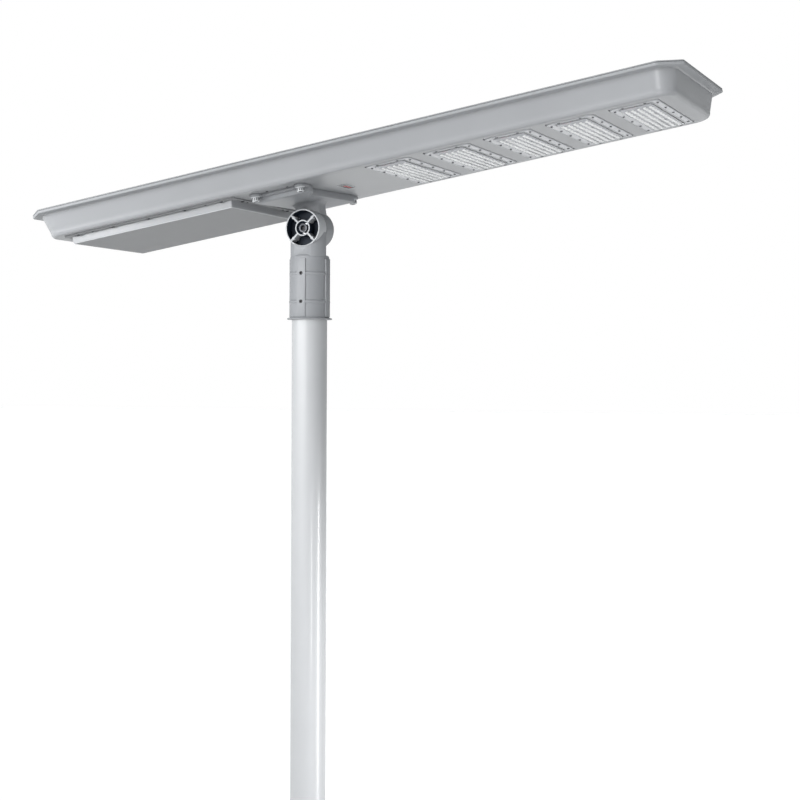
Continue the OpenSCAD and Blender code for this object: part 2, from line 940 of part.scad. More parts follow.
module trunk_cable() {
    z = pad_z + grommet_t + trunk_r + 0.5;
    y = wire_y - 7.5;
    goal = term_front();
    color([0.1, 0.1, 0.1])
        in_head() {
            wire([[module_x(1) + 12, y, z], [module_x(module_count) - 30, y, z],
                  [goal + 24, y + 12, z], [goal + 16, y + 50, z], [goal + 14, trunk_y - 20, z],
                  [goal + 10, trunk_y - 5, term_mid_z], [goal + 5, trunk_y, term_mid_z],
                  [goal - 3, trunk_y, term_mid_z]], trunk_r);
            // joint blocks on the cable
            for (i = [1:module_count])
                translate([module_x(i) - 9, y - 3.6, z - 2.8])
                    difference() {
                        cube([18, 7.2, 6.6]);
                        translate([-1, 3.6, 2.8])
                            rotate([0, 90, 0])
                                cylinder(r = trunk_r + screw_fit, h = 20);
                    }
        }
}

// ---- battery bay --------------------------------------------------------------------------

module battery_cover() {
    box_in = box_h - gasket_h - cover_t;
    color(cast_grey)
        in_head()
            difference() {
                union() {
                    translate([cover_x, 0, cover_top_z - cover_flange_t])
                        round_plate(cover_l, cover_w, 4, cover_flange_t);
                    hull() {
                        translate([box_x, 0, cover_top_z - 1])
                            linear_extrude(0.1)
                                square([box_l + 5, box_w + 3], center = true);
                        translate([box_x, 0, box_z])
                            linear_extrude(0.1)
                                square([box_l, box_w], center = true);
                    }
                }
                translate([box_x, 0, box_z + cover_t])
                    linear_extrude(box_in + 5)
                        square([box_l - 2 * cover_t, box_w - 2 * cover_t], center = true);
                cover_screw_places()
                    translate([0, 0, cover_top_z - 10])
                        cylinder(r = m_shank_r + screw_fit, h = 20);
            }
}

module battery_gasket() {
    color(dark_grey)
        in_head()
            translate([(cover_x + box_x) / 2, 0, cover_top_z])
                difference() {
                    plate_ring(cover_l - 12.6, cover_w - 10.4, 3, 1.9, gasket_h);
                    translate([-(cover_x + box_x) / 2, 0, 0])
                        cover_screw_places()
                            cylinder(r = m_head_r, h = 4);
                }
}

// The cover's screws and the four of the straps inside
module bay_screws() {
    color(dark_grey)
        in_head() {
            translate([0, 0, cover_top_z - cover_flange_t])
                cover_screw_places()
                    socket_screw(m_head_r, m_head_h, m_shank_r, cover_flange_t + gasket_h + 3);
            strap_feet()
                translate([0, 0, floor_z + strap_t])
                    mirror([0, 0, 1])
                        socket_screw(m_head_r, m_head_h, m_shank_r, strap_t + tray_wall - 0.3);
        }
}

module battery_places() {
    for (c = [0:battery_cols - 1])
        for (r = [-1:1])
            translate([box_x + (c - (battery_cols - 1) / 2) * cell_pitch, r * row_pitch, pack_z])
                rotate([90, 0, 0])
                    children();
}

module battery_cells() {
    color([0.15, 0.35, 0.6])
        in_head()
            battery_places()
                translate([0, 0, -battery_l / 2])
                    cylinder(d = battery_d, h = battery_l);
}

module cell_holders() {
    color(dark_grey)
        in_head()
            difference() {
                for (r = [-1:1])
                    for (s = [-1, 1])
                        translate([box_x, r * row_pitch + s * (battery_l / 2 - 8), pack_z])
                            cube([pack_l, holder_t, holder_h], center = true);
                battery_places()
                    cylinder(d = battery_d + 2 * holder_fit, h = battery_l + 4, center = true);
            }
}

module cell_strips() {
    run = (battery_cols - 1) * cell_pitch + 12;
    color([0.75, 0.75, 0.72])
        in_head()
            for (r = [-1:1])
                for (s = [-1, 1])
                    translate([box_x - run / 2, r * row_pitch + s * (battery_l / 2 + strip_t / 2)
                               - strip_t / 2, pack_z - 4])
                        cube([run, strip_t, 8]);
}

module bms_board() {
    l = pack_l / 2;
    w = 2 * battery_l / 2;
    color([0.1, 0.35, 0.2])
        in_head()
            translate([box_x + 0, 0, pack_top]) {
                translate([-l / 4, -w / 2, 0])
                    cube([l / 2, w, board_t]);
                for (k = [-2:2])
                    translate([k * 11 - 4, -5, board_t])
                        cube([8, 10, 3]);
            }
}

module battery_straps() {
    color(steel_grey)
        in_head()
            difference() {
                for (x = strap_x)
                    translate([box_x + x, 0, 0]) {
                        translate([-strap_w / 2, -strap_y, pack_top])
                            cube([strap_w, 2 * strap_y, strap_t]);
                        for (s = [-1, 1]) {
                            translate([-strap_w / 2, s * (strap_y - strap_t / 2) - strap_t / 2,
                                       floor_z])
                                cube([strap_w, strap_t, pack_top - floor_z + strap_t]);
                            translate([-strap_w / 2, s * (strap_y + strap_foot / 2) - strap_foot / 2,
                                       floor_z])
                                cube([strap_w, strap_foot, strap_t]);
                        }
                    }
                strap_feet()
                    translate([0, 0, floor_z - 1])
                        cylinder(r = m_shank_r + screw_fit, h = 10);
            }
}

module battery_leads() {
    goal = ctrl_x() - ctrl_l / 2 - term_l;
    z = pack_top + board_t + wire_r;
    start = box_x + pack_l / 8;
    color([0.7, 0.1, 0.1])
        in_head()
            for (y = lead_ys)
                wire([[start, y, z], [start + 20, y, z], [box_x + pack_l / 2, y, z],
                      [goal - 16, y, z - 3], [goal - 8, y, term_mid_z + 1],
                      [goal - 4, y, term_mid_z], [goal + 3, y, term_mid_z]], wire_r);
}

// ---- charge controller --------------------------------------------------------------------

function ctrl_x() = -pivot_back;
function term_front() = ctrl_x() + ctrl_l / 2 + term_l;

module controller_case() {
    color(dark_grey)
        in_head()
            translate([ctrl_x(), 0, floor_z])
                difference() {
                    round_plate(ctrl_l, ctrl_w, 4, ctrl_h);
                    translate([0, 0, ctrl_wall])
                        round_plate(ctrl_l - 2 * ctrl_wall, ctrl_w - 2 * ctrl_wall, 3, ctrl_h);
                }
}

module controller_lid() {
    color([0.3, 0.31, 0.33])
        in_head()
            translate([ctrl_x(), 0, floor_z + ctrl_h])
                round_plate(ctrl_l, ctrl_w, 4, ctrl_lid_t);
}

module controller_board() {
    color([0.1, 0.35, 0.2])
        in_head()
            translate([ctrl_x(), 0, floor_z + ctrl_wall]) {
                for (sx = [-1, 1])
                    for (sy = [-1, 1])
                        translate([sx * 42, sy * 65, 0])
                            cylinder(r = 3, h = 5);
                translate([-ctrl_l / 2 + ctrl_wall + 1, -ctrl_w / 2 + ctrl_wall + 1, 5])
                    cube([ctrl_l - 2 * ctrl_wall - 2, ctrl_w - 2 * ctrl_wall - 2, board_t]);
                for (y = [-40, 0, 40])
                    translate([0, y, 5 + board_t])
                        cylinder(r = 6, h = 8);
                for (y = [-20, 20])
                    translate([-25, y - 8, 5 + board_t])
                        cube([20, 16, 6]);
            }
}

module controller_terminals() {
    color([0.15, 0.45, 0.25])
        in_head()
            for (s = [-1, 1])
                difference() {
                    translate([ctrl_x() + s * (ctrl_l + term_l) / 2, 0, term_z + term_h / 2])
                        cube([term_l, term_w, term_h], center = true);
                    for (y = lead_ys)
                        translate([ctrl_x() + s * (ctrl_l / 2 + 5), y, term_mid_z])
                            rotate([0, s * 90, 0])
                                cylinder(r = wire_r + touch, h = 20);
                    translate([ctrl_x() + s * (ctrl_l / 2 + 5), trunk_y, term_mid_z])
                        rotate([0, s * 90, 0])
                            cylinder(r = trunk_r + touch, h = 20);
                }
}

// ---- indicator ----------------------------------------------------------------------------

module indicator_window() {
    color([0.03, 0.03, 0.05])
        in_head()
            translate([window_x, 0, under_z - 0.4])
                round_plate(window_l - 0.4, window_w - 0.4, 1.3, window_t);
}

module indicator_gasket() {
    color(dark_grey)
        in_head()
            translate([window_x, 0, under_z - 0.4 + window_t])
                plate_ring(window_l - 0.6, window_w - 0.6, 1.2, window_lip - 0.5, gasket_t);
}

module indicator_board() {
    color([0.1, 0.35, 0.2])
        in_head()
            translate([window_x, 0, floor_z]) {
                for (s = [-1, 1])
                    translate([0, s * 26, 0])
                        cylinder(r = 2.5, h = 2);
                translate([-7, -29, 2])
                    cube([14, 58, board_t]);
            }
}

module indicator_lights() {
    color([0.9, 0.2, 0.2])
        in_head()
            for (k = [0:3])
                translate([window_x - 1.5, -8.2 + k * 7.1, floor_z])
                    cube([3, 3, 2]);
}

// ---- everything ---------------------------------------------------------------------------

pole_tube();
sleeve_casting();
set_screws();
pivot_bolt();
pivot_nut();
pivot_washers();
friction_disc();
mount_bracket();
bracket_screws();
housing();
breather_plugs();
panel_seal();
panel_glass();
cell_ribbons();
solar_cells();
panel_backsheet();
junction_box();
panel_leads();
led_lens(1);  // led_lens_1
led_lens(2);  // led_lens_2
led_lens(3);  // led_lens_3
led_lens(4);  // led_lens_4
led_lens(5);  // led_lens_5
led_gasket(1);  // led_gasket_1
led_gasket(2);  // led_gasket_2
led_gasket(3);  // led_gasket_3
led_gasket(4);  // led_gasket_4
led_gasket(5);  // led_gasket_5
led_board(1);  // led_board_1
led_board(2);  // led_board_2
led_board(3);  // led_board_3
led_board(4);  // led_board_4
led_board(5);  // led_board_5
led_chips(1);  // led_chips_1
led_chips(2);  // led_chips_2
led_chips(3);  // led_chips_3
led_chips(4);  // led_chips_4
led_chips(5);  // led_chips_5
thermal_pads();
lens_screws();
wire_grommets();
led_leads();
trunk_cable();
battery_cover();
battery_gasket();
bay_screws();
battery_cells();
cell_holders();
cell_strips();
bms_board();
battery_straps();
battery_leads();
controller_case();
controller_lid();
controller_board();
controller_terminals();
indicator_window();
indicator_gasket();
indicator_board();
indicator_lights();
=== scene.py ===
import json
import math
import bpy
import bmesh
from mathutils import Matrix, Vector


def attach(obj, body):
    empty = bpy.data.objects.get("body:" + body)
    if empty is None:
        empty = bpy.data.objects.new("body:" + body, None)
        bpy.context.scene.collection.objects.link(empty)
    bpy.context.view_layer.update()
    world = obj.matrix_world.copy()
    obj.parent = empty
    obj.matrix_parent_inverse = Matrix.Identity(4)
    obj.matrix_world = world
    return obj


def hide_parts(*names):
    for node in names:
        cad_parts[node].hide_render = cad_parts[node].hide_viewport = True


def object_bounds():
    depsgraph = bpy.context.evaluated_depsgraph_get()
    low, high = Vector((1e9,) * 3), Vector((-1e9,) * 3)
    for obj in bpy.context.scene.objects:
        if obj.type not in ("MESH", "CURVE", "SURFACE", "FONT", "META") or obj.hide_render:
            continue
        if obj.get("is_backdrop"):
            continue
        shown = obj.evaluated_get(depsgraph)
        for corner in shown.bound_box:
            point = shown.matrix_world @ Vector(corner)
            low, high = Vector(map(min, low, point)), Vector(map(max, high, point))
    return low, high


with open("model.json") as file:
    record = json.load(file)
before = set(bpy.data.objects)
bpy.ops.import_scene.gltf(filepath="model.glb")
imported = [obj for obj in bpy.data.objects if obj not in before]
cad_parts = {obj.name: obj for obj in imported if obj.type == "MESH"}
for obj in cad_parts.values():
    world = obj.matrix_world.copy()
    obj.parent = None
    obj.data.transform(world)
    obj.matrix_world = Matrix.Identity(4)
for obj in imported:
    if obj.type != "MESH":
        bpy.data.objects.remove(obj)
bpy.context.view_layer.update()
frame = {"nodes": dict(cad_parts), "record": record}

print("frame loaded")

# Everything below is drawn in millimetres and scaled to metres when it becomes a piece
mm = 0.001
pivotHeight = 1200.0
headTilt = math.radians(9.5)
pivotBack = 123.0
pivotDrop = 105.0
earOut = 29.5
fullTurn = 2 * math.pi

headPlace = (Matrix.Translation((0, 0, pivotHeight * mm))
             @ Matrix.Rotation(-headTilt, 4, "Y")
             @ Matrix.Translation((pivotBack * mm, 0, pivotDrop * mm)))
boltPlace = (Matrix.Translation((0, -earOut * mm, pivotHeight * mm))
             @ Matrix.Rotation(math.radians(-90), 4, "X"))
plainPlace = Matrix.Identity(4)


def newMaterial(name):
    mat = bpy.data.materials.new(name)
    mat.use_nodes = True
    tree = mat.node_tree
    shader = tree.nodes["Principled BSDF"]
    return mat, tree, shader


def grainNodes(tree, scale, detail=4.0, stretch=(1, 1, 1)):
    coord = tree.nodes.new("ShaderNodeTexCoord")
    mapping = tree.nodes.new("ShaderNodeMapping")
    mapping.inputs["Scale"].default_value = stretch
    noise = tree.nodes.new("ShaderNodeTexNoise")
    noise.inputs["Scale"].default_value = scale
    noise.inputs["Detail"].default_value = detail
    tree.links.new(coord.outputs["Object"], mapping.inputs["Vector"])
    tree.links.new(mapping.outputs["Vector"], noise.inputs["Vector"])
    return noise


def colourRamp(tree, source, stops):
    ramp = tree.nodes.new("ShaderNodeValToRGB")
    while len(ramp.color_ramp.elements) < len(stops):
        ramp.color_ramp.elements.new(0.5)
    for element, (place, colour) in zip(ramp.color_ramp.elements, stops):
        element.position = place
        element.color = (*colour, 1)
    tree.links.new(source, ramp.inputs["Fac"])
    return ramp


def addBump(tree, shader, height, strength, distance):
    bump = tree.nodes.new("ShaderNodeBump")
    bump.inputs["Strength"].default_value = strength
    bump.inputs["Distance"].default_value = distance
    tree.links.new(height, bump.inputs["Height"])
    tree.links.new(bump.outputs["Normal"], shader.inputs["Normal"])


def shade(colour, factor):
    return tuple(min(1.0, c * factor) for c in colour)


def circlePoints(radius, steps):
    return [(radius * math.cos(fullTurn * k / steps), radius * math.sin(fullTurn * k / steps))
            for k in range(steps)]


def surfaceFinish(name, colour, rough=0.5, metal=0.0, mottle=0.06, mottleScale=30.0, roughSpread=0.08,
                  grain=900.0, bump=0.15, depth=0.0002, coat=0.0, alpha=1.0, stretch=(1, 1, 1), shine=0.5):
    # Colour drifts softly at one scale, and roughness and bump follow a finer grain
    mat, tree, shader = newMaterial(name)
    soft = grainNodes(tree, mottleScale, 3.0, stretch)
    ramp = colourRamp(tree, soft.outputs["Fac"],
                      [(0.3, shade(colour, 1 - mottle)), (0.7, shade(colour, 1 + mottle))])
    tree.links.new(ramp.outputs["Color"], shader.inputs["Base Color"])
    fine = grainNodes(tree, grain, 2.0, stretch)
    spread = tree.nodes.new("ShaderNodeMapRange")
    spread.inputs["To Min"].default_value = max(0.02, rough - roughSpread)
    spread.inputs["To Max"].default_value = min(1.0, rough + roughSpread)
    tree.links.new(fine.outputs["Fac"], spread.inputs["Value"])
    tree.links.new(spread.outputs["Result"], shader.inputs["Roughness"])
    addBump(tree, shader, fine.outputs["Fac"], bump, depth)
    shader.inputs["Metallic"].default_value = metal
    shader.inputs["Specular IOR Level"].default_value = shine
    shader.inputs["Coat Weight"].default_value = coat
    shader.inputs["Coat Roughness"].default_value = 0.12
    shader.inputs["Alpha"].default_value = alpha
    return mat


def brushedFinish(name, colour, rough=0.35):
    return surfaceFinish(name, colour, rough, 1.0, 0.08, 60.0, 0.1, 500.0, 0.2, 0.0001, stretch=(1, 1, 9))


castGrey = (0.208, 0.214, 0.223)
castPaint = surfaceFinish("powderCoatGrey", castGrey, 0.34, 0.0, 0.025, 9.0, 0.05, 1100.0, 0.10,
                          0.00015, shine=0.35)
sleevePaint = surfaceFinish("powderCoatSleeve", (0.180, 0.187, 0.197), 0.42, 0.0, 0.03, 18.0, 0.05,
                            1100.0, 0.10, 0.00015, shine=0.28)
coverPaint = surfaceFinish("powderCoatCover", (0.160, 0.164, 0.169), 0.5, 0.0, 0.025, 8.0, 0.05,
                           1100.0, 0.10, 0.00015, shine=0.3)
# Light grey for screw heads, plugs, dimples and thin rims; on the battery cover's bottom edge it is a painted
# highlight
lightGreyAndEdgeHighlight = surfaceFinish("lightGreyAndPaintedHighlight", (0.36, 0.372, 0.385), 0.38, 0.0, 0.03, 20.0, 0.05, 1000.0, 0.08,
                          0.0001)
rimPaint = surfaceFinish("castRim", (0.30, 0.31, 0.322), 0.38, 0.0, 0.03, 20.0, 0.05, 1000.0, 0.08,
                         0.0001, shine=0.3)
# Near-black painted shade for the sleeve ear's deep hollow, its seat and the hub's side
hollowPaintedShade = surfaceFinish("hollowPaintedShade", (0.008, 0.012, 0.020), 0.55, 0.0, 0.2, 40.0, 0.1, 700.0, 0.2,
                           0.0002, shine=0.15)
# Painted shade: a darker copy of the housing paint for the flange's outer edge and underside
flangeShadePaint = surfaceFinish("flangeEdgeShade", (0.215, 0.222, 0.231), 0.6, 0.0, 0.025, 20.0, 0.05, 1000.0, 0.08,
                            0.0001, shine=0.25)
# Near-black for the panel's dark gap on the flange's top edge, and painted shade inside the flange's groove
seamAndGrooveShade = surfaceFinish("seamAndGrooveShade", (0.060, 0.064, 0.068), 0.55, 0.0, 0.08, 40.0, 0.08, 700.0, 0.1, 0.0001)
polePaint = surfaceFinish("poleGloss", (0.31, 0.317, 0.326), 0.40, 0.0, 0.015, 12.0, 0.05, 700.0, 0.03,
                          0.0001, coat=0.15, shine=0.35)
darkScrew = surfaceFinish("blackScrew", (0.035, 0.037, 0.042), 0.35, 0.6, 0.15, 200.0, 0.1, 2000.0, 0.2)
greyScrew = surfaceFinish("greyScrew", (0.10, 0.105, 0.112), 0.40, 0.3, 0.12, 200.0, 0.1, 2000.0, 0.2)
zincSteel = brushedFinish("zincSteel", (0.55, 0.56, 0.58), 0.33)
lensFrameGrey = surfaceFinish("lensFrame", (0.34, 0.345, 0.362), 0.33, 0.0, 0.03, 60.0, 0.06, 900.0, 0.06,
                              0.0001, coat=0.2)
lensClear = surfaceFinish("lensClear", (0.36, 0.37, 0.39), 0.12, 0.0, 0.02, 60.0, 0.04, 500.0, 0.04,
                          0.0001, alpha=0.72)
# Painted glint: the clear beads are painted much lighter and less see-through than the plate
lensBeadGlint = surfaceFinish("lensBeadGlint", (0.64, 0.645, 0.65), 0.06, 0.0, 0.01, 80.0, 0.03, 500.0, 0.04,
                         0.0001, alpha=0.93)
redJacket = surfaceFinish("redJacket", (0.55, 0.03, 0.03), 0.4, 0.0, 0.05, 300.0, 0.08)
blackJacket = surfaceFinish("blackJacket", (0.02, 0.02, 0.022), 0.4, 0.0, 0.1, 300.0, 0.08)
windowBlack = surfaceFinish("windowBlack", (0.010, 0.010, 0.013), 0.24, 0.0, 0.1, 60.0, 0.03, 500.0, 0.02)
redMark = surfaceFinish("redMark", (0.55, 0.02, 0.03), 0.25, 0.0, 0.1, 400.0, 0.05)
greyMark = surfaceFinish("greyMark", (0.22, 0.23, 0.25), 0.3, 0.0, 0.1, 400.0, 0.05)
# Near-black: painted shade inside screw sockets, vent cores and the bracket screws' side grooves, and the
# black set screws, whose black also stands for the shade in their holes
blackScrewAndHoleShade = surfaceFinish("blackScrewAndHoleShade", (0.01, 0.01, 0.012), 0.55, 0.0, 0.2, 200.0, 0.1)
print("materials ready")


def roundedRect(l, w, r, steps=6):
    pts = []
    for cx, cy, start in ((l / 2 - r, w / 2 - r, 0), (-l / 2 + r, w / 2 - r, 90),
                          (-l / 2 + r, -w / 2 + r, 180), (l / 2 - r, -w / 2 + r, 270)):
        for k in range(steps + 1):
            a = math.radians(start + 90 * k / steps)
            pts.append((cx + r * math.cos(a), cy + r * math.sin(a)))
    return pts


def softPolygon(corners, r, steps=3):
    # Each corner becomes a short curve that starts r away from it
    pts = []
    n = len(corners)
    for i, c in enumerate(corners):
        c = Vector(c)
        before = Vector(corners[i - 1]) - c
        after = Vector(corners[(i + 1) % n]) - c
        a = c + before.normalized() * min(r, before.length * 0.45)
        b = c + after.normalized() * min(r, after.length * 0.45)
        for k in range(steps + 1):
            t = k / steps
            p = a * (1 - t) ** 2 + c * 2 * t * (1 - t) + b * t ** 2
            pts.append((p.x, p.y))
    return pts


def octagonLine(l, w, c, r=2.0):
    x, y = l / 2, w / 2
    return softPolygon([(x, -y + c), (x, y - c), (x - c, y), (-x + c, y), (-x, y - c), (-x, -y + c),
                        (-x + c, -y), (x - c, -y)], r)


def atHeight(pts, z, shift=(0, 0)):
    return [(x + shift[0], y + shift[1], z) for x, y in pts]


def addRings(bm, rings, cap=True, loop=False, matIndex=0):
    # Skins a row of equal rings, and closes its ends or joins them to each other
    rows = [[bm.verts.new(p) for p in ring] for ring in rings]
    pairs = list(zip(rows, rows[1:])) + ([(rows[-1], rows[0])] if loop else [])
    faces = []
    for low, high in pairs:
        n = len(low)
        for k in range(n):
            faces.append(bm.faces.new((low[k], low[(k + 1) % n], high[(k + 1) % n], high[k])))
    if cap and not loop:
        faces.append(bm.faces.new(list(reversed(rows[0]))))
        faces.append(bm.faces.new(rows[-1]))
    for f in faces:
        f.material_index = matIndex
    return faces


def addTurned(bm, profile, centre=(0, 0, 0), steps=48, matIndex=0, darkSpans=(), darkIndex=1):
    # A closed outline of (radius, height) turned about the upright axis
    rings = []
    for r, z in profile:
        rings.append([(centre[0] + r * math.cos(2 * math.pi * k / steps),
                       centre[1] + r * math.sin(2 * math.pi * k / steps), centre[2] + z)
                      for k in range(steps)])
    faces = addRings(bm, rings, loop=True, matIndex=matIndex)
    for span in darkSpans:
        for f in faces[span * steps:(span + 1) * steps]:
            f.material_index = darkIndex
    return faces


def addPlate(bm, outline, low, high, edge=0.5, shift=(0, 0), matIndex=0):
    # An upright plate with softened top and bottom edges, drawn from one outline
    cx = sum(p[0] for p in outline) / len(outline)
    cy = sum(p[1] for p in outline) / len(outline)
    span = max(math.dist((cx, cy), p) for p in outline)
    def inset(d):
        pts = []
        n = len(outline)
        for i, (x, y) in enumerate(outline):
            ax, ay = outline[i - 1]
            bx, by = outline[(i + 1) % n]
            dx, dy = bx - ax, by - ay
            size = math.hypot(dx, dy) or 1.0
            pts.append((x - dy / size * d, y + dx / size * d))
        return pts
    if span < edge * 3:
        edge = span / 4
    rings = [atHeight(inset(edge), low, shift), atHeight(inset(edge * 0.3), low + edge * 0.3, shift),
             atHeight(outline, low + edge, shift), atHeight(outline, high - edge, shift),
             atHeight(inset(edge * 0.3), high - edge * 0.3, shift), atHeight(inset(edge), high, shift)]
    return addRings(bm, rings, matIndex=matIndex)


def addBox(bm, low, high, edge=0.5, matIndex=0):
    l, w = high[0] - low[0], high[1] - low[1]
    return addPlate(bm, roundedRect(l, w, max(edge, 0.05), 2), low[2], high[2], edge,
                    ((low[0] + high[0]) / 2, (low[1] + high[1]) / 2), matIndex)


def addDome(bm, centre, rx, ry, height, turn=0.0, steps=12, rows=4, matIndex=0, down=True):
    sign = -1 if down else 1
    rings = []
    ca, sa = math.cos(turn), math.sin(turn)
    for j in range(rows):
        a = math.pi / 2 * j / rows
        rings.append([])
        for k in range(steps):
            b = sign * 2 * math.pi * k / steps
            x, y = rx * math.cos(a) * math.cos(b), ry * math.cos(a) * math.sin(b)
            rings[-1].append((centre[0] + x * ca - y * sa, centre[1] + x * sa + y * ca,
                              centre[2] + sign * height * math.sin(a)))
    rows3 = [[bm.verts.new(p) for p in ring] for ring in rings]
    top = bm.verts.new((centre[0], centre[1], centre[2] + sign * height))
    faces = [bm.faces.new(list(reversed(rows3[0])))]
    for low, high in zip(rows3, rows3[1:]):
        for k in range(steps):
            faces.append(bm.faces.new((low[k], low[(k + 1) % steps], high[(k + 1) % steps], high[k])))
    for k in range(steps):
        faces.append(bm.faces.new((rows3[-1][k], rows3[-1][(k + 1) % steps], top)))
    for f in faces:
        f.material_index = matIndex
    return faces


def meshFrom(bm, name):
    bmesh.ops.recalc_face_normals(bm, faces=bm.faces)
    mesh = bpy.data.meshes.new(name)
    bm.to_mesh(mesh)
    bm.free()
    return mesh


def cutMesh(mesh, cutters):
    # Takes each cutter out of the mesh in turn and returns the result
    host = bpy.data.objects.new("cutHost", mesh)
    bpy.context.scene.collection.objects.link(host)
    for cutter in cutters:
        tool = bpy.data.objects.new("cutTool", cutter)
        bpy.context.scene.collection.objects.link(tool)
        mod = host.modifiers.new("cut", "BOOLEAN")
        mod.operation = "DIFFERENCE"
        mod.solver = "EXACT"
        mod.object = tool
        done = bpy.data.meshes.new_from_object(host.evaluated_get(bpy.context.evaluated_depsgraph_get()))
        host.modifiers.clear()
        host.data = done
        bpy.data.objects.remove(tool)
    result = host.data
    bpy.data.objects.remove(host)
    return result


def joinMeshes(meshes, name):
    bm = bmesh.new()
    for mesh in meshes:
        bm.from_mesh(mesh)
    joined = bpy.data.meshes.new(name)
    bm.to_mesh(joined)
    bm.free()
    return joined


def finishPiece(name, mesh, place, mats, body, replaced=(), bevel=0.0, segments=2, angle=32):
    mesh.transform(Matrix.Scale(mm, 4))
    for k, mat in enumerate(mats):
        if k < len(mesh.materials):
            mesh.materials[k] = mat
        else:
            mesh.materials.append(mat)
    mesh.polygons.foreach_set("use_smooth", [True] * len(mesh.polygons))
    mesh.set_sharp_from_angle(angle=math.radians(angle))
    obj = bpy.data.objects.new(name, mesh)
    bpy.context.scene.collection.objects.link(obj)
    obj.matrix_world = place
    if bevel:
        mod = obj.modifiers.new("softEdges", "BEVEL")
        mod.width = bevel * mm
        mod.segments = segments
        mod.limit_method = "ANGLE"
        mod.angle_limit = math.radians(35)
        mod.harden_normals = True
    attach(obj, body)
    if replaced:
        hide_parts(*replaced)
    return obj


# Camera at the height of a passer-by who looks up at the lamp
camera = {"lens": 77.83, "fromLamp": (1.1852, -2.6768, -0.3943), "yaw": -22.713, "pitch": -0.416,
          "roll": 0.25}
camData = bpy.data.cameras.new("viewCamera")
camData.lens = camera["lens"]
camData.sensor_width = 36
camObj = bpy.data.objects.new("viewCamera", camData)
bpy.context.scene.collection.objects.link(camObj)
yaw, pitch, roll = (math.radians(camera[k]) for k in ("yaw", "pitch", "roll"))
forward = Vector((math.sin(yaw) * math.cos(pitch), math.cos(yaw) * math.cos(pitch), math.sin(pitch)))
level = Vector((math.cos(yaw), -math.sin(yaw), 0))
rise = level.cross(forward)
right = level * math.cos(roll) + rise * math.sin(roll)
up = right.cross(forward)
turned = Matrix((right, up, -forward)).transposed().to_4x4()
camObj.matrix_world = Matrix.Translation(headPlace.to_translation() + Vector(camera["fromLamp"])) @ turned
camData.clip_end = 200
bpy.context.scene.camera = camObj

studio = {"bright": 0.78, "dim": 0.36, "floor": (0.93, 0.93, 0.93), "key": 4.2, "top": 1.08, "softness": 40,
          "left": 3.0, "right": 14.0, "strip": 1.0}
world = bpy.data.worlds.new("studioWorld")
world.use_nodes = True
bpy.context.scene.world = world
wt = world.node_tree
background = wt.nodes["Background"]
# The room is brighter on the battery end's side
around = wt.nodes.new("ShaderNodeTexCoord")
axes = wt.nodes.new("ShaderNodeSeparateXYZ")
wt.links.new(around.outputs["Generated"], axes.inputs["Vector"])
fade = wt.nodes.new("ShaderNodeMapRange")
fade.inputs["From Min"].default_value = -1.0
fade.inputs["From Max"].default_value = 1.0
fade.inputs["To Min"].default_value = studio["bright"]
fade.inputs["To Max"].default_value = studio["dim"]
wt.links.new(axes.outputs["X"], fade.inputs["Value"])
wt.links.new(fade.outputs["Result"], background.inputs["Strength"])
background.inputs["Color"].default_value = (0.97, 0.99, 1, 1)
seen = wt.nodes.new("ShaderNodeBackground")
seen.inputs["Color"].default_value = (1, 1, 1, 1)
seen.inputs["Strength"].default_value = 1.0
pathNode = wt.nodes.new("ShaderNodeLightPath")
mixNode = wt.nodes.new("ShaderNodeMixShader")
wt.links.new(pathNode.outputs["Is Camera Ray"], mixNode.inputs["Fac"])
wt.links.new(background.outputs["Background"], mixNode.inputs[1])
wt.links.new(seen.outputs["Background"], mixNode.inputs[2])
wt.links.new(mixNode.outputs["Shader"], wt.nodes["World Output"].inputs["Surface"])
bpy.context.scene.view_settings.view_transform = "Standard"


def softSun(name, fromDirection, strength):
    # A wide, even light, the same all over the floor
    data = bpy.data.lights.new(name, "SUN")
    data.energy = strength
    data.angle = math.radians(studio["softness"])
    obj = bpy.data.objects.new(name, data)
    bpy.context.scene.collection.objects.link(obj)
    obj.rotation_mode = "QUATERNION"
    obj.rotation_quaternion = Vector(fromDirection).to_track_quat("Z", "Y")
    return obj


def softPanel(name, place, aim, size, power, spread=180):
    data = bpy.data.lights.new(name, "AREA")
    data.shape = "RECTANGLE"
    data.size, data.size_y = size
    data.energy = power
    data.spread = math.radians(spread)
    obj = bpy.data.objects.new(name, data)
    bpy.context.scene.collection.objects.link(obj)
    obj.location = place
    obj.rotation_mode = "QUATERNION"
    obj.rotation_quaternion = (Vector(place) - Vector(aim)).to_track_quat("Z", "Y")
    obj.visible_camera = False
    return obj


softSun("keyLight", (-0.25, -0.95, 0.15), studio["key"])
softSun("topLight", (-0.15, 0.1, 1.0), studio["top"])
softPanel("batteryEndLight", (-1.30, -1.10, 1.25), (-0.64, 0.0, 1.10), (0.6, 0.5), studio["left"], 60)
softPanel("cornerLight", (1.95, -1.95, 0.14), (0.65, -0.15, 1.33), (0.16, 0.8), studio["right"], 120)
softPanel("poleStripRight", (0.95, 0.05, 0.34), (0.0, 0.0, 0.34), (0.16, 0.68), studio["strip"], 40)

floorBm = bmesh.new()
bmesh.ops.create_grid(floorBm, x_segments=1, y_segments=1, size=60)
floorMesh = bpy.data.meshes.new("studioFloor")
floorBm.to_mesh(floorMesh)
floorBm.free()
floorMesh.materials.append(surfaceFinish("floorPaper", studio["floor"], 0.9, 0.0, 0.004, 0.6, 0.03, 60.0,
                                         0.02))
studioFloor = bpy.data.objects.new("studioFloor", floorMesh)
bpy.context.scene.collection.objects.link(studioFloor)
studioFloor.location = (0, 0, -0.001)
studioFloor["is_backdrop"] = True
print("camera and studio set")


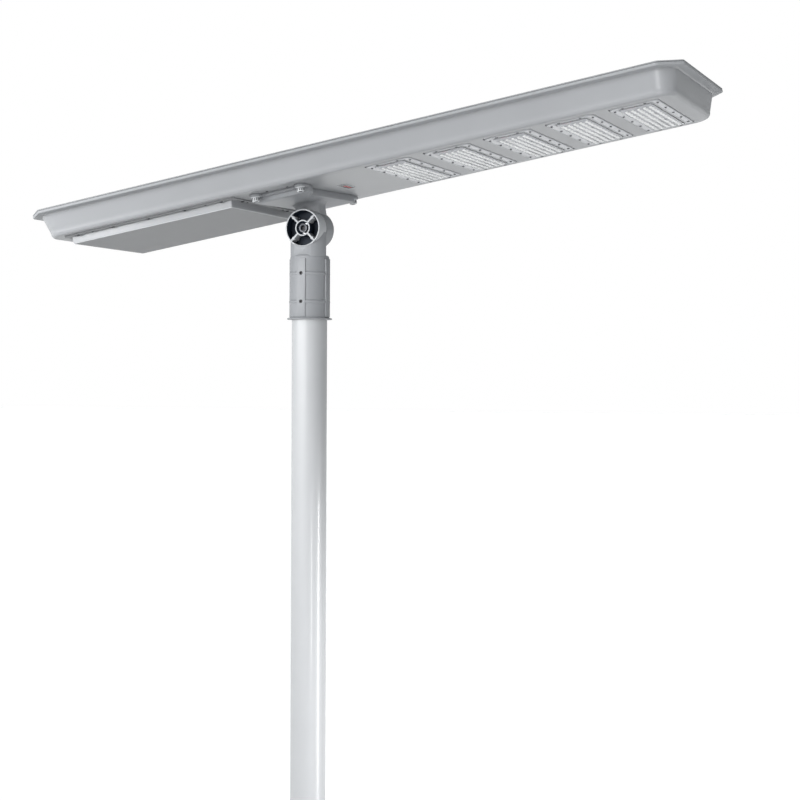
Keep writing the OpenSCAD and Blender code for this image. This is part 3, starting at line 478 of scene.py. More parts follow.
pole = {"radius": 30.15, "wall": 3.0, "top": 1144.7}
bm = bmesh.new()
ro, ri, top = pole["radius"], pole["radius"] - pole["wall"], pole["top"]
heights = [top * k / 12 for k in range(1, 12)]
addTurned(bm, [(ri + 0.5, 0), (ro - 0.5, 0), (ro, 0.5)] + [(ro, z) for z in heights]
          + [(ro, top - 0.5), (ro - 0.5, top), (ri + 0.5, top), (ri, top - 0.5), (ri, 0.5)], steps=96)
finishPiece("poleTube", meshFrom(bm, "poleTube"), plainPlace, [polePaint], "pole",
            ["pole_tube"])
print("pole made")


sleeve = {"low": 1045.0, "bore": 30.5, "radius": 33.4, "lip": 38.5, "stop": 100.0,
          "beads": (30.0, 78.0), "beadOut": 1.3, "padWidth": 16.0, "padOut": 34.9, "padTop": 103.5,
          "taper": 0.7, "screwHole": 3.2, "holeReach": 50}


def sleeveProfile():
    s = sleeve
    pts = [(s["bore"] + 0.6, 0), (s["lip"] - 0.6, 0), (s["lip"], 0.5), (s["lip"], 1.7),
           (s["lip"] - 0.5, 2.3), (36.2, 2.7), (34.4, 3.1), (33.7, 3.6), (33.7, 4.6), (34.1, 5.2)]
    for z in s["beads"]:
        r = s["radius"] + s["taper"] * (155 - z) / 155
        out = s["beadOut"]
        pts += [(r, z - 3.2), (r + 0.4 * out, z - 2.6), (r + 0.85 * out, z - 1.4), (r + out, z),
                (r + 0.85 * out, z + 1.4), (r + 0.3 * out, z + 2.4), (r - 0.5, z + 2.7), (r - 0.5, z + 3.5),
                (r, z + 3.8)]
    pts += [(33.6, 103.5), (33.4, 106.0), (32.7, 108.1), (31.2, 109.3), (29.6, 109.5), (0.4, 109.5),
            (0.4, s["stop"]), (s["bore"] - 0.4, s["stop"]), (s["bore"], s["stop"] - 0.4),
            (s["bore"], 0.6)]
    return pts


def crossHoles(radius, heights, reach):
    # Round cutters along Y at the set screws
    bmCut = bmesh.new()
    for z in heights:
        for side in (-1, 1):
            ring = [(radius * math.cos(a), z + radius * math.sin(a))
                    for a in (2 * math.pi * k / 20 for k in range(20))]
            addRings(bmCut, [[(x, side * 20.0, h) for x, h in ring],
                             [(x, side * reach, h) for x, h in ring]])
    return meshFrom(bmCut, "crossHoles")


bm = bmesh.new()
addTurned(bm, sleeveProfile(), (0, 0, sleeve["low"]), 96)
screwHeights = [sleeve["low"] + z for z in sleeve["beads"]]
socket = cutMesh(meshFrom(bm, "socket"), [crossHoles(sleeve["screwHole"], screwHeights, sleeve["holeReach"])])
pads = []
for quarter in range(4):
    bm = bmesh.new()
    half = sleeve["padWidth"] / 2
    z0, z1 = sleeve["low"] + 4.0, sleeve["low"] + sleeve["padTop"]
    addBox(bm, (-half, -sleeve["padOut"], z0), (half, -31.5, z1), 0.5)
    bmesh.ops.rotate(bm, verts=bm.verts, cent=(0, 0, 0),
                     matrix=Matrix.Rotation(quarter * math.pi / 2, 3, "Z"))
    pad = meshFrom(bm, "pad")
    if quarter in (0, 2):
        pad = cutMesh(pad, [crossHoles(sleeve["screwHole"], screwHeights, sleeve["holeReach"])])
    pads.append(pad)

# Arm between the socket and the near ear: a round bar cut flat on three sides
armRadius, armHalf = 33.0, 31.4
a0 = math.acos(armHalf / armRadius)
a1 = math.asin(earOut / armRadius)
arc = [(armRadius * math.cos(a), -armRadius * math.sin(a))
       for a in (a0 + (a1 - a0) * k / 10 for k in range(11))]
armLine = ([(-armHalf, -1.0)] + [(-x, y) for x, y in arc] + [(x, y) for x, y in reversed(arc)]
           + [(armHalf, -1.0)])
armBm = bmesh.new()
addPlate(armBm, armLine, 1150.0, 1201.0, 0.3)
# The ear's hollow stays open, so the arm ends where the ear begins
bm = bmesh.new()
hollow = circlePoints(30.9, 64)
addRings(bm, [[(x, y, pivotHeight + z) for x, z in hollow] for y in (-40.0, 5.0)])
armMesh = cutMesh(meshFrom(armBm, "arm"), [meshFrom(bm, "armCut")])
joined = joinMeshes([socket] + pads + [armMesh], "sleeveBody")
finishPiece("sleeveSocket", joined, plainPlace, [sleevePaint], "sleeve", ["sleeve_casting"])

ear = {"radius": 32.0, "wall": 2.2, "depth": 19.0, "thick": 28.5, "hub": 13.7, "seat": 9.6, "mouth": 11.5,
       "seatDepth": 14.0, "hole": 5.06, "spoke": 3.0, "boss": 2.7, "bossAt": 24.6}
bm = bmesh.new()
e = ear
inner = e["radius"] - e["wall"]
# The dark spans paint the hollow's floor and wall, the seat and the hub's side near-black as painted shade
addTurned(bm, [(e["hole"], e["depth"]), (inner, e["depth"]), (inner, 0.4), (inner + 0.3, 0),
               (e["radius"] - 0.4, 0), (e["radius"], 0.5), (e["radius"], e["thick"] - 0.6),
               (e["radius"] - 0.6, e["thick"]),
               (e["hole"], e["thick"])], steps=96, darkSpans=(0, 1))
addTurned(bm, [(e["hole"], e["seatDepth"]), (e["seat"], e["seatDepth"]), (e["seat"], 6.0), (e["mouth"], 4.5),
               (e["mouth"], 0.4), (e["mouth"] + 0.3, 0), (e["hub"] - 0.4, 0), (e["hub"], 0.4),
               (e["hub"], e["depth"] + 0.3), (e["hole"], e["depth"] + 0.3)], steps=64,
          darkSpans=(0, 1, 2, 3, 7))
for quarter in range(4):
    turn = Matrix.Rotation(math.radians(45 + 90 * quarter), 3, "Z")
    before = set(bm.verts)
    addBox(bm, (e["hub"] - 0.6, -e["spoke"] / 2, 0.25), (inner + 0.6, e["spoke"] / 2, e["depth"] + 0.2),
           0.4)
    addTurned(bm, [(0.3, -0.6), (1.5, -0.6), (e["boss"] - 0.3, -0.3), (e["boss"], 0.3),
                   (e["boss"], e["depth"] + 0.2), (0.3, e["depth"] + 0.2)], (e["bossAt"], 0, 0.7), 20)
    bmesh.ops.rotate(bm, verts=[v for v in bm.verts if v not in before], cent=(0, 0, 0), matrix=turn)
finishPiece("sleeveEar", meshFrom(bm, "sleeveEar"), boltPlace, [rimPaint, hollowPaintedShade], "sleeve",
            ["sleeve_casting"])

# Set screws sunk in the near and far pads, near-black, which also paints the shade in their holes
bm = bmesh.new()
for z in sleeve["beads"]:
    for side in (-1, 1):
        before = set(bm.verts)
        addTurned(bm, [(0.2, 1.6), (1.6, 1.6), (1.7, 4.0), (2.6, 4.0), (2.95, 3.6), (2.95, 0.0), (0.2, 0.0)],
                  (0, 0, 0), 18)
        bmesh.ops.transform(bm, verts=[v for v in bm.verts if v not in before],
                            matrix=Matrix.Translation((0, side * 30.5, sleeve["low"] + z))
                            @ Matrix.Rotation(math.radians(-90 * side), 4, "X"))
finishPiece("setScrews", meshFrom(bm, "setScrews"), plainPlace, [blackScrewAndHoleShade], "sleeve",
            ["set_screws"])

# Pivot bolt with its socket head, washers and nut
bolt = {"shank": 5.0, "head": 8.0, "headTall": 10.0, "headAt": 12.0, "end": 74.6}
bm = bmesh.new()
h0 = bolt["headAt"] - bolt["headTall"]
# the socket's floor and wall are near-black painted shade
addTurned(bm, [(0.3, h0 + 5.5), (4.1, h0 + 5.5), (4.4, h0 + 0.3), (5.0, h0), (7.2, h0),
               (bolt["head"], h0 + 0.8), (bolt["head"], bolt["headAt"]), (bolt["shank"], bolt["headAt"]),
               (bolt["shank"], bolt["end"] - 1.0),
               (4.2, bolt["end"]), (0.3, bolt["end"])], steps=40, darkSpans=(0, 1), darkIndex=1)
finishPiece("pivotBolt", meshFrom(bm, "pivotBolt"), boltPlace, [darkScrew, blackScrewAndHoleShade], "sleeve",
            ["pivot_bolt"])
bm = bmesh.new()
for z in (12.0, 59.3):
    addTurned(bm, [(5.3, z), (9.1, z), (9.4, z + 0.3), (9.4, z + 1.7), (9.1, z + 2.0), (5.3, z + 2.0)],
              steps=40)
finishPiece("pivotWashers", meshFrom(bm, "pivotWashers"), boltPlace, [zincSteel], "sleeve",
            ["pivot_washers"])
bm = bmesh.new()
rings = []
for z, cut in ((61.3, 0.9), (62.1, 0.0), (68.5, 0.0), (69.3, 0.9)):
    rings.append([((9.8 - cut) * math.cos(math.pi / 3 * k), (9.8 - cut) * math.sin(math.pi / 3 * k), z)
                  for k in range(6)])
inside = [[(5.1 * math.cos(math.pi / 3 * k), 5.1 * math.sin(math.pi / 3 * k), z) for k in range(6)]
          for z in (69.3, 61.3)]
addRings(bm, rings + inside, loop=True)
finishPiece("pivotNut", meshFrom(bm, "pivotNut"), boltPlace, [zincSteel], "sleeve",
            ["pivot_nut"], bevel=0.4)
print("sleeve made")


under = -46.5
bracket = {"high": 12.5, "length": 103.0, "width": 185.6, "waist": 77.0, "screwX": 41.9, "screwY": 106.0,
           "earThick": 5.0, "neck": 46.0}


def bracketOutline(shrink=0.0):
    b = bracket
    ex, w, y = b["length"] / 2 - shrink, b["waist"] / 2 - shrink, b["width"] / 2 - shrink
    slope = (b["length"] / 2 - b["waist"] / 2) * 1.6
    y1 = b["width"] / 2 - 16
    half = [(ex, y1), (ex, y), (-ex, y), (-ex, y1), (-w, y1 - slope)]
    other = [(-x, -yy) for x, yy in half]
    return softPolygon(half + other, 3.5, 3)


bm = bmesh.new()
cx = -pivotBack
addPlate(bm, bracketOutline(), under - bracket["high"], under, 1.2, (cx, 0))
addPlate(bm, bracketOutline(6.0), under - bracket["high"] - 0.25, under - bracket["high"] + 1.0, 0.25,
         (cx, 0))
for sy in (-1, 1):
    addBox(bm, (cx - 48.5, min(sy * 80, sy * 99.6), under - bracket["earThick"]),
           (cx + 48.5, max(sy * 80, sy * 99.6), under - 0.05), 0.8)
    for sx in (-1, 1):
        x = cx + sx * bracket["screwX"]
        y = sy * bracket["screwY"]
        addPlate(bm, circlePoints(9.4, 28), under - bracket["earThick"], under - 0.05, 0.8, (x, y))
        addBox(bm, (x - 9.4, min(y, y - sy * 16), under - bracket["earThick"]),
               (x + 9.4, max(y, y - sy * 16), under - 0.05), 0.8)
# neck with a flared root, then the ear
neckTop = under - bracket["high"] + 0.6
y0, y1 = 1.5, 29.0
rings = []
for drop, grow in ((0.0, 7.0), (1.2, 4.6), (3.0, 2.4), (6.0, 0.8), (10.0, 0.0), (30.0, 0.0)):
    outline = roundedRect(bracket["neck"] + 2 * grow, (y1 - y0) + 2 * min(grow, 6.0), 3.0 + grow * 0.5, 5)
    rings.append(atHeight(outline, neckTop - drop, (cx, (y0 + y1) / 2)))
addRings(bm, rings)
headBracket = meshFrom(bm, "bracketPlate")
bm = bmesh.new()
addTurned(bm, [(5.06, 0.0), (31.2, 0.0), (32.0, 0.8), (32.0, 27.7), (31.2, 28.5), (17.0, 28.5), (16.4, 28.1),
               (11.5, 28.1), (11.0, 28.5), (5.06, 28.5)], steps=96)
earMesh = meshFrom(bm, "bracketEar")
earMesh.transform(Matrix.Scale(1 / mm, 4) @ headPlace.inverted() @ boltPlace
                  @ Matrix.Translation((0, 0, 30.5 * mm)) @ Matrix.Scale(mm, 4))
finishPiece("mountBracket", joinMeshes([headBracket, earMesh], "mountBracket"), headPlace,
            [sleevePaint], "head", ["mount_bracket"])


def socketHead(bm, x, y, z, r, tall, dark=1, steps=20):
    # A cap screw seen from below; its socket's floor and wall take the material at index dark, near-black
    # painted shade for the bracket and cover screws
    addTurned(bm, [(0.15, -tall * 0.45), (r * 0.5, -tall * 0.45), (r * 0.55, -tall), (r * 0.86, -tall),
                   (r, -tall * 0.86), (r, 0.0), (0.15, 0.0)], (x, y, z), steps, darkSpans=(0, 1),
              darkIndex=dark)


bm = bmesh.new()
for sx in (-1, 1):
    for sy in (-1, 1):
        x, y = cx + sx * bracket["screwX"], sy * bracket["screwY"]
        z = under - bracket["earThick"]
        addTurned(bm, [(4.2, 0.3), (7.7, 0.3), (7.7, -0.25), (7.4, -0.5), (6.4, -0.5), (6.2, -0.2),
                       (4.2, -0.2)], (x, y, z), 24, darkSpans=(4, 5))
        # tall round head whose socket and the grooves round its side are painted near-black as painted shade
        socketHead(bm, x, y, z - 0.2, 6.3, 7.6)
        for k in range(12):
            before = set(bm.verts)
            addBox(bm, (5.9, -0.62, z - 6.4), (6.55, 0.62, z - 1.6), 0.15, 1)
            turn = Matrix.Rotation(math.radians(30 * k + 9), 4, "Z")
            bmesh.ops.transform(bm, verts=[v for v in bm.verts if v not in before],
                                matrix=Matrix.Translation((x, y, 0)) @ turn)
finishPiece("bracketScrews", meshFrom(bm, "bracketScrews"), headPlace, [lightGreyAndEdgeHighlight, blackScrewAndHoleShade], "head",
            ["bracket_screws"])
print("bracket made")


housing = {"length": 1170.0, "width": 337.0, "chamfer": 34.0, "flange": 7.0, "endOver": 14.5,
           "sideOver": 14.0, "sideLean": 13.0, "endLean": 7.0, "edge": 9.0, "edgeIn": 7.0, "wall": 3.5,
           "corner": 38.0}
modulePitch, moduleInset, moduleCount = 103.0, 90.5, 5
recessLong, recessWide, recessDeep = 80.0, 242.0, 2.0
coverX = -585.0 + 51.5 + 169.0
boxX = coverX + 0.5
windowX = -44.0
wireY = -104.0


def moduleX(i):
    return housing["length"] / 2 - moduleInset - i * modulePitch


def trayRing(lean, z, shrink=0.0, corner=None):
    h = housing
    hx = h["length"] / 2 - h["endOver"] - h["endLean"] * lean - shrink
    hy = h["width"] / 2 - h["sideOver"] - h["sideLean"] * lean - shrink
    return atHeight(roundedRect(2 * hx, 2 * hy, max(4.0, (corner or h["corner"]) - shrink), 12), z)


h = housing
lowEdge = under + h["edge"]
outer = [trayRing(0.0, -5.2), trayRing(0.0, -7.5)]
outer += [trayRing(k / 6, -7.5 + (lowEdge + 7.5) * k / 6, 0, h["corner"] - 4 * k / 6) for k in range(1, 7)]
for k in range(1, 9):
    a = math.pi / 2 * k / 8
    inset = h["edgeIn"] * (1 - math.cos(a))
    outer.append(trayRing(1.0, lowEdge - h["edge"] * math.sin(a), inset, h["corner"] - 4))
innerRings = [trayRing(1.0, under + h["wall"], h["edgeIn"] + 2.5, h["corner"] - 4),
              trayRing(1.0, under + h["wall"] + 6, h["wall"] + 0.6, h["corner"] - 4),
              trayRing(0.0, -5.2, h["wall"])]
bm = bmesh.new()
rows = [[bm.verts.new(p) for p in ring] for ring in outer]
inRows = [[bm.verts.new(p) for p in ring] for ring in innerRings]
n = len(rows[0])
for low, high in list(zip(rows, rows[1:])) + list(zip(inRows, inRows[1:])) + [(inRows[-1], rows[0])]:
    for k in range(n):
        bm.faces.new((low[k], low[(k + 1) % n], high[(k + 1) % n], high[k]))
bm.faces.new(rows[-1])
bm.faces.new(inRows[0])
tray = meshFrom(bm, "tray")

bm = bmesh.new()
for i in range(moduleCount):
    addRings(bm, [atHeight(roundedRect(recessLong, recessWide, 4, 4), z, (moduleX(i), 0))
                  for z in (under - 3, under + recessDeep)])
addRings(bm, [atHeight(roundedRect(304.0, 222.0, 3, 3), z, (boxX, 0)) for z in (under - 3, under + 8)])
addRings(bm, [atHeight(roundedRect(15.4, 48.9, 1.6, 3), z, (windowX, 0)) for z in (under - 3, under + 2.0)])
for s in (-1, 1):
    addRings(bm, [atHeight(circlePoints(2.9, 20), z, (coverX - 176.5, s * 86.5))
                  for z in (under - 3, under + 12)])
firstCut = meshFrom(bm, "recessCut")
bm = bmesh.new()
for i in range(moduleCount):
    addRings(bm, [atHeight(circlePoints(4.0, 20), z, (moduleX(i), wireY)) for z in (under - 3, under + 8)])
secondCut = meshFrom(bm, "wireCut")
tray = cutMesh(tray, [firstCut, secondCut])


def flangeRing(ix, iy, z):
    c = h["chamfer"] - 0.586 * (ix + iy) / 2
    return atHeight(octagonLine(h["length"] - 2 * ix, h["width"] - 2 * iy, max(6.0, c), 2.5), z)


bm = bmesh.new()
flangeLine = [(1.5, 1.5, -5.0), (1.5, 1.5, -0.4), (1.2, 1.2, 0.0), (0.5, 0.5, 0.0), (0.0, 0.0, -0.5),
              (0.0, 0.0, -1.5), (0.7, 0.7, -1.7), (0.7, 0.7, -2.5), (0.0, 0.0, -2.8), (0.0, 0.0, -5.8),
              (0.3, 0.3, -6.3), (0.7, 0.7, -6.8), (1.2, 1.2, -7.0), (12.6, 12.1, -7.0), (13.6, 13.1, -7.5),
              (15.2, 14.7, -8.6), (17.5, 16.5, -8.6), (17.5, 16.5, -5.0)]
flangeFaces = addRings(bm, [flangeRing(*p) for p in flangeLine], loop=True)
around = len(flangeFaces) // len(flangeLine)
for span in range(len(flangeLine)):
    # near-black on the top edge for the panel's dark gap and painted shade in the groove; painted shade, a
    # darker copy of the housing paint, on the outer edge and the underside
    kind = 2 if span in (3, 6) else 1 if 4 <= span <= 12 else 0
    for f in flangeFaces[span * around:(span + 1) * around]:
        f.material_index = kind
flange = meshFrom(bm, "flange")
finishPiece("lampHousing", joinMeshes([tray, flange], "lampHousing"), headPlace,
            [castPaint, flangeShadePaint, seamAndGrooveShade], "head", ["housing"], bevel=0.35, angle=35)

# Small cast dimples outside the recess corners and dark screws beside the bracket
bm = bmesh.new()
for i in range(moduleCount):
    for sy in (-1, 1):
        addDome(bm, (moduleX(i) + 43.5, sy * 124.0, under + 0.05), 1.7, 1.7, 0.45, steps=12, rows=3)
for x, y in ((cx - 18.9, 106.5), (cx + 18.9, 106.5), (cx - 18.9, -106.5), (cx + 18.9, -106.5)):
    addDome(bm, (x, y, under + 0.05), 2.6, 2.6, 1.1, steps=14, rows=3, matIndex=1)
finishPiece("castDots", meshFrom(bm, "castDots"), headPlace, [lightGreyAndEdgeHighlight, darkScrew], "head",
            ["housing"])

bm = bmesh.new()
for s in (-1, 1):
    x, y = coverX - 176.5, s * 86.5
    addTurned(bm, [(1.5, 0.6), (2.4, 0.6), (2.8, -0.6), (4.2, -0.6), (4.2, 0.0), (2.8, 0.0), (2.8, 7.0),
                   (1.5, 7.0)], (x, y, under), 24)
    # a near-black core fills the vent's hole as painted shade
    addTurned(bm, [(0.2, 0.7), (1.6, 0.7), (1.6, 6.0), (0.2, 6.0)], (x, y, under), 16, matIndex=1)
finishPiece("breatherPlugs", meshFrom(bm, "breatherPlugs"), headPlace, [lightGreyAndEdgeHighlight, blackScrewAndHoleShade], "head",
            ["breather_plugs"])
print("housing made")


lens = {"long": 50.8, "wide": 217.6, "floor": under + recessDeep - 4.6, "frame": 2.2, "rows": 5, "cols": 24,
        "rowPitch": 9.6, "colPitch": 8.1, "beadLong": 4.5, "beadWide": 2.2, "beadHigh": 1.6, "lean": 55.0}
frameLow = under + recessDeep - 0.6 - lens["frame"]


def lineRings(outerLine, innerLine, high, low, x):
    # Four outlines of a thin raised line round an opening
    return [atHeight(line, z, (x, 0)) for line, z in ((outerLine, high), (outerLine, low), (innerLine, low),
                                                      (innerLine, high))]


def screwSpots():
    spots = [(s * 33.7, k * 50.3) for s in (-1, 1) for k in (-2, -1, 0, 1, 2)]
    return spots + [(sx * 17.6, sy * 116.7) for sx in (-1, 1) for sy in (-1, 1)]


for i in range(moduleCount):
    x = moduleX(i)
    number = i + 1
    # Frame with a thin raised line round its outside and round the lens
    bm = bmesh.new()
    profile = [(77.0, 239.0, 9.0, under + recessDeep - 0.5), (77.0, 239.0, 9.0, frameLow + 0.4),
               (76.2, 238.2, 8.6, frameLow), (52.6, 219.4, 3.4, frameLow), (51.8, 218.6, 3.0, frameLow + 0.4),
               (51.8, 218.6, 3.0, under + recessDeep - 0.5)]
    addRings(bm, [atHeight(roundedRect(l, w, r, 6), z, (x, 0)) for l, w, r, z in profile], loop=True)
    for l, w, r in ((76.0, 238.0, 8.5), (57.0, 224.0, 5.0)):
        outerLine, innerLine = roundedRect(l, w, r, 6), roundedRect(l - 2.4, w - 2.4, r - 1.2, 6)
        addRings(bm, lineRings(outerLine, innerLine, frameLow + 0.3, frameLow - 0.45, x), loop=True,
                 matIndex=1)
    finishPiece("lensFrame%d" % number, meshFrom(bm, "lensFrame"), headPlace, [lensFrameGrey, lightGreyAndEdgeHighlight],
                "head", ["led_lens_%d" % number])
    # Clear optic block with its slanting beads, which are painted light as a painted glint
    bm = bmesh.new()
    addPlate(bm, roundedRect(lens["long"], lens["wide"], 3, 4), lens["floor"], lens["floor"] + 1.6, 0.5,
             (x, 0))
    for c in range(lens["cols"]):
        for r in range(lens["rows"]):
            px = x + (r - 2) * lens["rowPitch"]
            py = (c - (lens["cols"] - 1) / 2) * lens["colPitch"] + 4.0
            turn = math.radians(lens["lean"] if c % 2 else -lens["lean"])
            addDome(bm, (px, py, lens["floor"] + 0.1), lens["beadLong"], lens["beadWide"], lens["beadHigh"],
                    turn, 10, 3, 1)
    finishPiece("lensOptic%d" % number, meshFrom(bm, "lensOptic"), headPlace, [lensClear, lensBeadGlint],
                "head", ["led_lens_%d" % number], angle=50)

bm = bmesh.new()
for i in range(moduleCount):
    for sx, sy in screwSpots():
        socketHead(bm, moduleX(i) + sx, sy, frameLow + 0.05, 1.95 if abs(sx) > 30 else 2.35, 1.4, 0, 14)
    for sx in (-1, 1):
        for sy in (-1, 1):
            socketHead(bm, moduleX(i) + sx * 12.7, sy * 32.0, lens["floor"] + 0.1, 1.5, 0.9, 0, 10)
finishPiece("lensScrews", meshFrom(bm, "lensScrews"), headPlace, [greyScrew], "head",
            ["lens_screws"])


def addWire(bm, points, r, steps=8, matIndex=0):
    pts = [Vector(p) for p in points]
    smooth = [pts[0]]
    for k in range(len(pts) - 1):
        p0, p1 = pts[max(k - 1, 0)], pts[k]
        p2, p3 = pts[k + 1], pts[min(k + 2, len(pts) - 1)]
        for j in range(1, 5):
            t = j / 4
            smooth.append(0.5 * ((2 * p1) + (p2 - p0) * t + (2 * p0 - 5 * p1 + 4 * p2 - p3) * t * t
                                 + (3 * p1 - p0 - 3 * p2 + p3) * t ** 3))
    rings = []
    for k, p in enumerate(smooth):
        ahead = (smooth[min(k + 1, len(smooth) - 1)] - smooth[max(k - 1, 0)]).normalized()
        side = ahead.cross(Vector((0.13, 0.29, 0.95))).normalized()
        other = ahead.cross(side)
        rings.append([tuple(p + side * r * math.cos(a) + other * r * math.sin(a))
                      for a in (2 * math.pi * m / steps for m in range(steps))])
    addRings(bm, rings, matIndex=matIndex)


boardLow = under + recessDeep - 2.1
for name, sign, jacket in (("redLeads", -1, redJacket), ("blackLeads", 1, blackJacket)):
    bm = bmesh.new()
    for i in range(moduleCount):
        x = moduleX(i)
        addWire(bm, [(x + sign * 15, wireY + 5, boardLow - 1.0), (x + sign * 11, wireY + 1, boardLow - 1.2),
                     (x + sign * 6, wireY + 3.5, boardLow - 1.2),
                     (x + sign * 2.2, wireY + 1.0, boardLow - 1.1),
                     (x + sign * 1.1, wireY, boardLow + 1.5), (x + sign * 1.1, wireY, boardLow + 8),
                     (x + sign * 1.1, wireY - 3, boardLow + 10.4)], 0.75)
    finishPiece(name, meshFrom(bm, name), headPlace, [jacket], "head", ["led_leads"])
print("light modules made")


cover = {"long": 338.0, "wide": 250.0, "flange": 1.5, "boxLong": 316.0, "boxWide": 230.0,
         "boxLow": under - 15.0, "top": under - 1.0}
bm = bmesh.new()
addPlate(bm, roundedRect(cover["long"] + 0.4, cover["wide"] + 0.4, 4, 4), cover["top"] - cover["flange"],
         cover["top"], 0.7, (coverX, 0))
# thin skirt that hides the gasket's edge
skirt = [(0.4, cover["top"] - 0.7), (0.4, under - 0.05), (-0.4, under - 0.05), (-0.4, cover["top"] - 0.7)]
addRings(bm, [atHeight(roundedRect(cover["long"] + g, cover["wide"] + g, 4, 4), z, (coverX, 0))
              for g, z in skirt], loop=True)
# Each row: growth in length, growth in width, corner radius, height
boxRows = [(3, 2, 2.0, cover["top"] - 0.8), (1.2, 0.9, 2.0, cover["boxLow"] + 3.4),
           (0.2, 0.2, 2.0, cover["boxLow"] + 0.9), (-1.4, -1.4, 1.6, cover["boxLow"]),
           (-9.0, -9.0, 1.6, cover["boxLow"])]
boxFaces = addRings(bm, [atHeight(roundedRect(cover["boxLong"] + growLong, cover["boxWide"] + growWide, r, 3),
                                  z, (boxX, 0)) for growLong, growWide, r, z in boxRows])
wallPoints = 16
# The box's rounded bottom edge takes the light grey as a painted highlight, and its walls take the lighter
# housing paint, painted light against the cover's own darker grey
for f in boxFaces[wallPoints * 2:wallPoints * 3]:
    f.material_index = 1
for f in boxFaces[:wallPoints * 2]:
    f.material_index = 2
finishPiece("batteryCover", meshFrom(bm, "batteryCover"), headPlace, [coverPaint, lightGreyAndEdgeHighlight, castPaint],
            "head", ["battery_cover"])

bm = bmesh.new()
screwLow = cover["top"] - cover["flange"]
for s in (-1, 1):
    for k in range(-2, 3):
        socketHead(bm, coverX + k * 71.35, s * 121.4, screwLow + 0.05, 3.0, 1.6, 1, 16)
    for x in (-112.6, 112.6):
        socketHead(bm, coverX + x, s * 121.4, screwLow + 0.05, 1.7, 1.0, 1, 12)
    for y in (-84.5, 84.5):
        socketHead(bm, coverX + s * 164.5, y, screwLow + 0.05, 3.0, 1.6, 1, 16)
    for y in (-67, 67):
        socketHead(bm, coverX + s * 164.5, y, screwLow + 0.05, 1.7, 1.0, 1, 12)
finishPiece("coverScrews", meshFrom(bm, "coverScrews"), headPlace, [darkScrew, blackScrewAndHoleShade], "head",
            ["bay_screws"])
print("battery cover made")


window = {"long": 14.3, "wide": 47.8, "low": under - 0.4, "squares": (14.5, 7.4, 0.3, -6.7),
          "symbols": (-13.0, -18.6), "halfSquare": 1.9}
bm = bmesh.new()
addPlate(bm, roundedRect(window["long"], window["wide"], 1.3, 4), window["low"], window["low"] + 2.0, 0.3,
         (windowX, 0))
outerLine, innerLine = roundedRect(14.4, 47.9, 1.3, 4), roundedRect(12.6, 46.1, 0.9, 4)
addRings(bm, lineRings(outerLine, innerLine, window["low"] + 0.5, window["low"] - 0.15, windowX), loop=True,
         matIndex=1)
half = window["halfSquare"]
for y in window["squares"]:
    addBox(bm, (windowX - half, y - half, window["low"] - 0.12),
           (windowX + half, y + half, window["low"] + 0.3), 0.1, 2)
for y in window["symbols"]:
    addTurned(bm, [(1.1, 0.3), (1.9, 0.3), (1.9, -0.12), (1.1, -0.12)], (windowX, y, window["low"]), 20,
              matIndex=3)
finishPiece("indicatorWindow", meshFrom(bm, "indicatorWindow"), headPlace,
            [windowBlack, lightGreyAndEdgeHighlight, redMark, greyMark], "head", ["indicator_window"])


# The solar panel and the inner parts keep their own shapes
def headCoords(tree):
    # Coordinates square to the lamp head for a node stored in the row frame
    coord = tree.nodes.new("ShaderNodeTexCoord")
    mapping = tree.nodes.new("ShaderNodeMapping")
    mapping.vector_type = "POINT"
    inverse = headPlace.inverted()
    mapping.inputs["Location"].default_value = inverse.to_translation()
    mapping.inputs["Rotation"].default_value = inverse.to_euler()
    tree.links.new(coord.outputs["Object"], mapping.inputs["Vector"])
    return mapping.outputs["Vector"]


def cellFinish():
    mat, tree, shader = newMaterial("siliconCell")
    vector = headCoords(tree)
    fingers = tree.nodes.new("ShaderNodeTexWave")
    fingers.bands_direction = "X"
    fingers.inputs["Scale"].default_value = 105.0
    tree.links.new(vector, fingers.inputs["Vector"])
    noise = tree.nodes.new("ShaderNodeTexNoise")
    noise.inputs["Scale"].default_value = 9.0
    tree.links.new(vector, noise.inputs["Vector"])
    ramp = colourRamp(tree, noise.outputs["Fac"],
                      [(0.3, (0.0042, 0.0062, 0.0115)), (0.7, (0.0062, 0.0092, 0.0165))])
    lines = colourRamp(tree, fingers.outputs["Fac"], [(0.72, (0, 0, 0)), (0.95, (0.011, 0.013, 0.017))])
    add = tree.nodes.new("ShaderNodeMix")
    add.data_type = "RGBA"
    add.blend_type = "ADD"
    add.inputs["Factor"].default_value = 1.0
    tree.links.new(ramp.outputs["Color"], add.inputs["A"])
    tree.links.new(lines.outputs["Color"], add.inputs["B"])
    tree.links.new(add.outputs["Result"], shader.inputs["Base Color"])
    addBump(tree, shader, noise.outputs["Fac"], 0.02, 0.0001)
    shader.inputs["Roughness"].default_value = 0.28
    shader.inputs["Coat Weight"].default_value = 0.6
    shader.inputs["Coat Roughness"].default_value = 0.08
    return mat


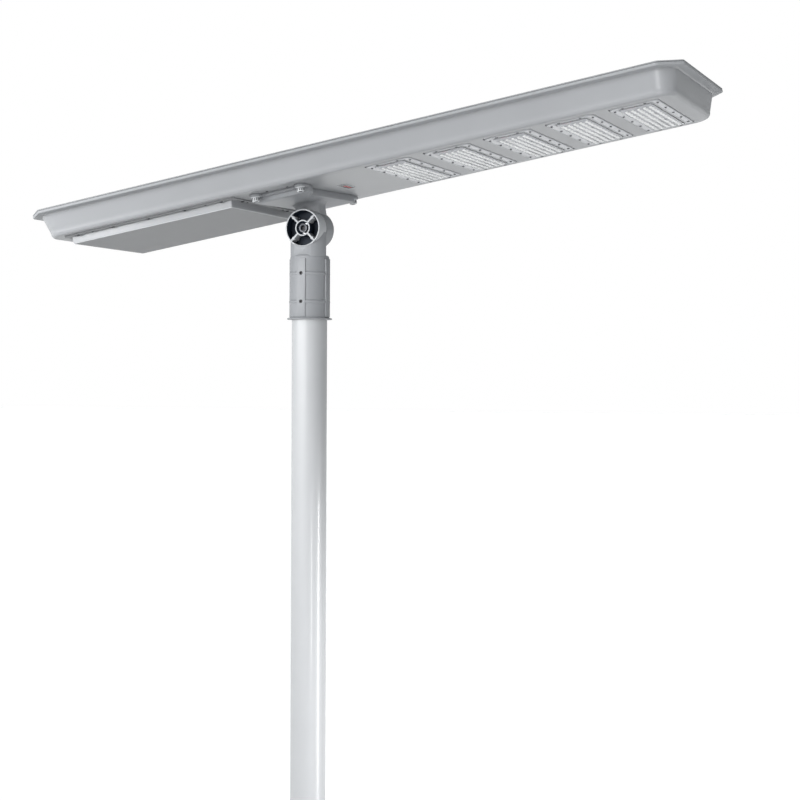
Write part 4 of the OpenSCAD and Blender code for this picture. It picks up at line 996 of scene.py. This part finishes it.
carried = {
    "panel_glass": surfaceFinish("panelGlass", (0.02, 0.026, 0.036), 0.05, 0.0, 0.1, 6.0, 0.02, 200.0, 0.01,
                                 alpha=0.16, coat=0.5),
    "tinned_ribbon": brushedFinish("tinnedRibbon", (0.42, 0.43, 0.45), 0.4),
    "silicon_cell": cellFinish(),
    "back_sheet": surfaceFinish("backSheet", (0.0045, 0.006, 0.010), 0.35, 0.0, 0.15, 8.0, 0.06, coat=0.4),
    "black_rubber": surfaceFinish("blackRubber", (0.018, 0.018, 0.019), 0.7, 0.0, 0.15, 80.0),
    "friction_plastic": surfaceFinish("frictionPlastic", (0.04, 0.04, 0.042), 0.6, 0.0, 0.1, 100.0),
    "zinc_steel": zincSteel,
    "dark_screw": darkScrew,
    "black_plastic": surfaceFinish("blackPlastic", (0.022, 0.022, 0.024), 0.5, 0.0, 0.12, 60.0),
    "lead_jacket": blackJacket,
    "thermal_pad": surfaceFinish("thermalPad", (0.38, 0.4, 0.43), 0.8, 0.0, 0.08, 90.0),
    "white_board": surfaceFinish("whiteBoard", (0.82, 0.83, 0.82), 0.35, 0.0, 0.03, 60.0),
    "led_chip": surfaceFinish("ledChip", (0.86, 0.70, 0.22), 0.3, 0.0, 0.08, 400.0),
    "cell_can": surfaceFinish("cellFilm", (0.06, 0.16, 0.36), 0.3, 0.0, 0.08, 40.0, coat=0.3),
    "holder_plastic": surfaceFinish("holderPlastic", (0.03, 0.03, 0.032), 0.55, 0.0, 0.12, 60.0),
    "nickel_strip": brushedFinish("nickelStrip", (0.6, 0.58, 0.52), 0.3),
    "green_board": surfaceFinish("greenBoard", (0.02, 0.12, 0.05), 0.3, 0.0, 0.15, 120.0, coat=0.3),
    "strap_plastic": surfaceFinish("strapPlastic", (0.04, 0.04, 0.044), 0.5, 0.0, 0.1, 70.0),
    "lid_plastic": surfaceFinish("lidPlastic", (0.09, 0.095, 0.1), 0.5, 0.0, 0.1, 60.0),
    "terminal_plastic": surfaceFinish("terminalPlastic", (0.04, 0.2, 0.07), 0.45, 0.0, 0.1, 90.0),
    "red_light": surfaceFinish("redLight", (0.6, 0.03, 0.03), 0.2, 0.0, 0.08, 200.0),
}
for part in frame["record"]["subparts"]:
    node = frame["nodes"][part["node"]]
    if part["material_slot"] in carried and not node.hide_render:
        mat = carried[part["material_slot"]]
        if node.material_slots:
            for place in node.material_slots:
                place.material = mat
        else:
            node.data.materials.append(mat)
print("carried parts painted")

low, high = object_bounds()
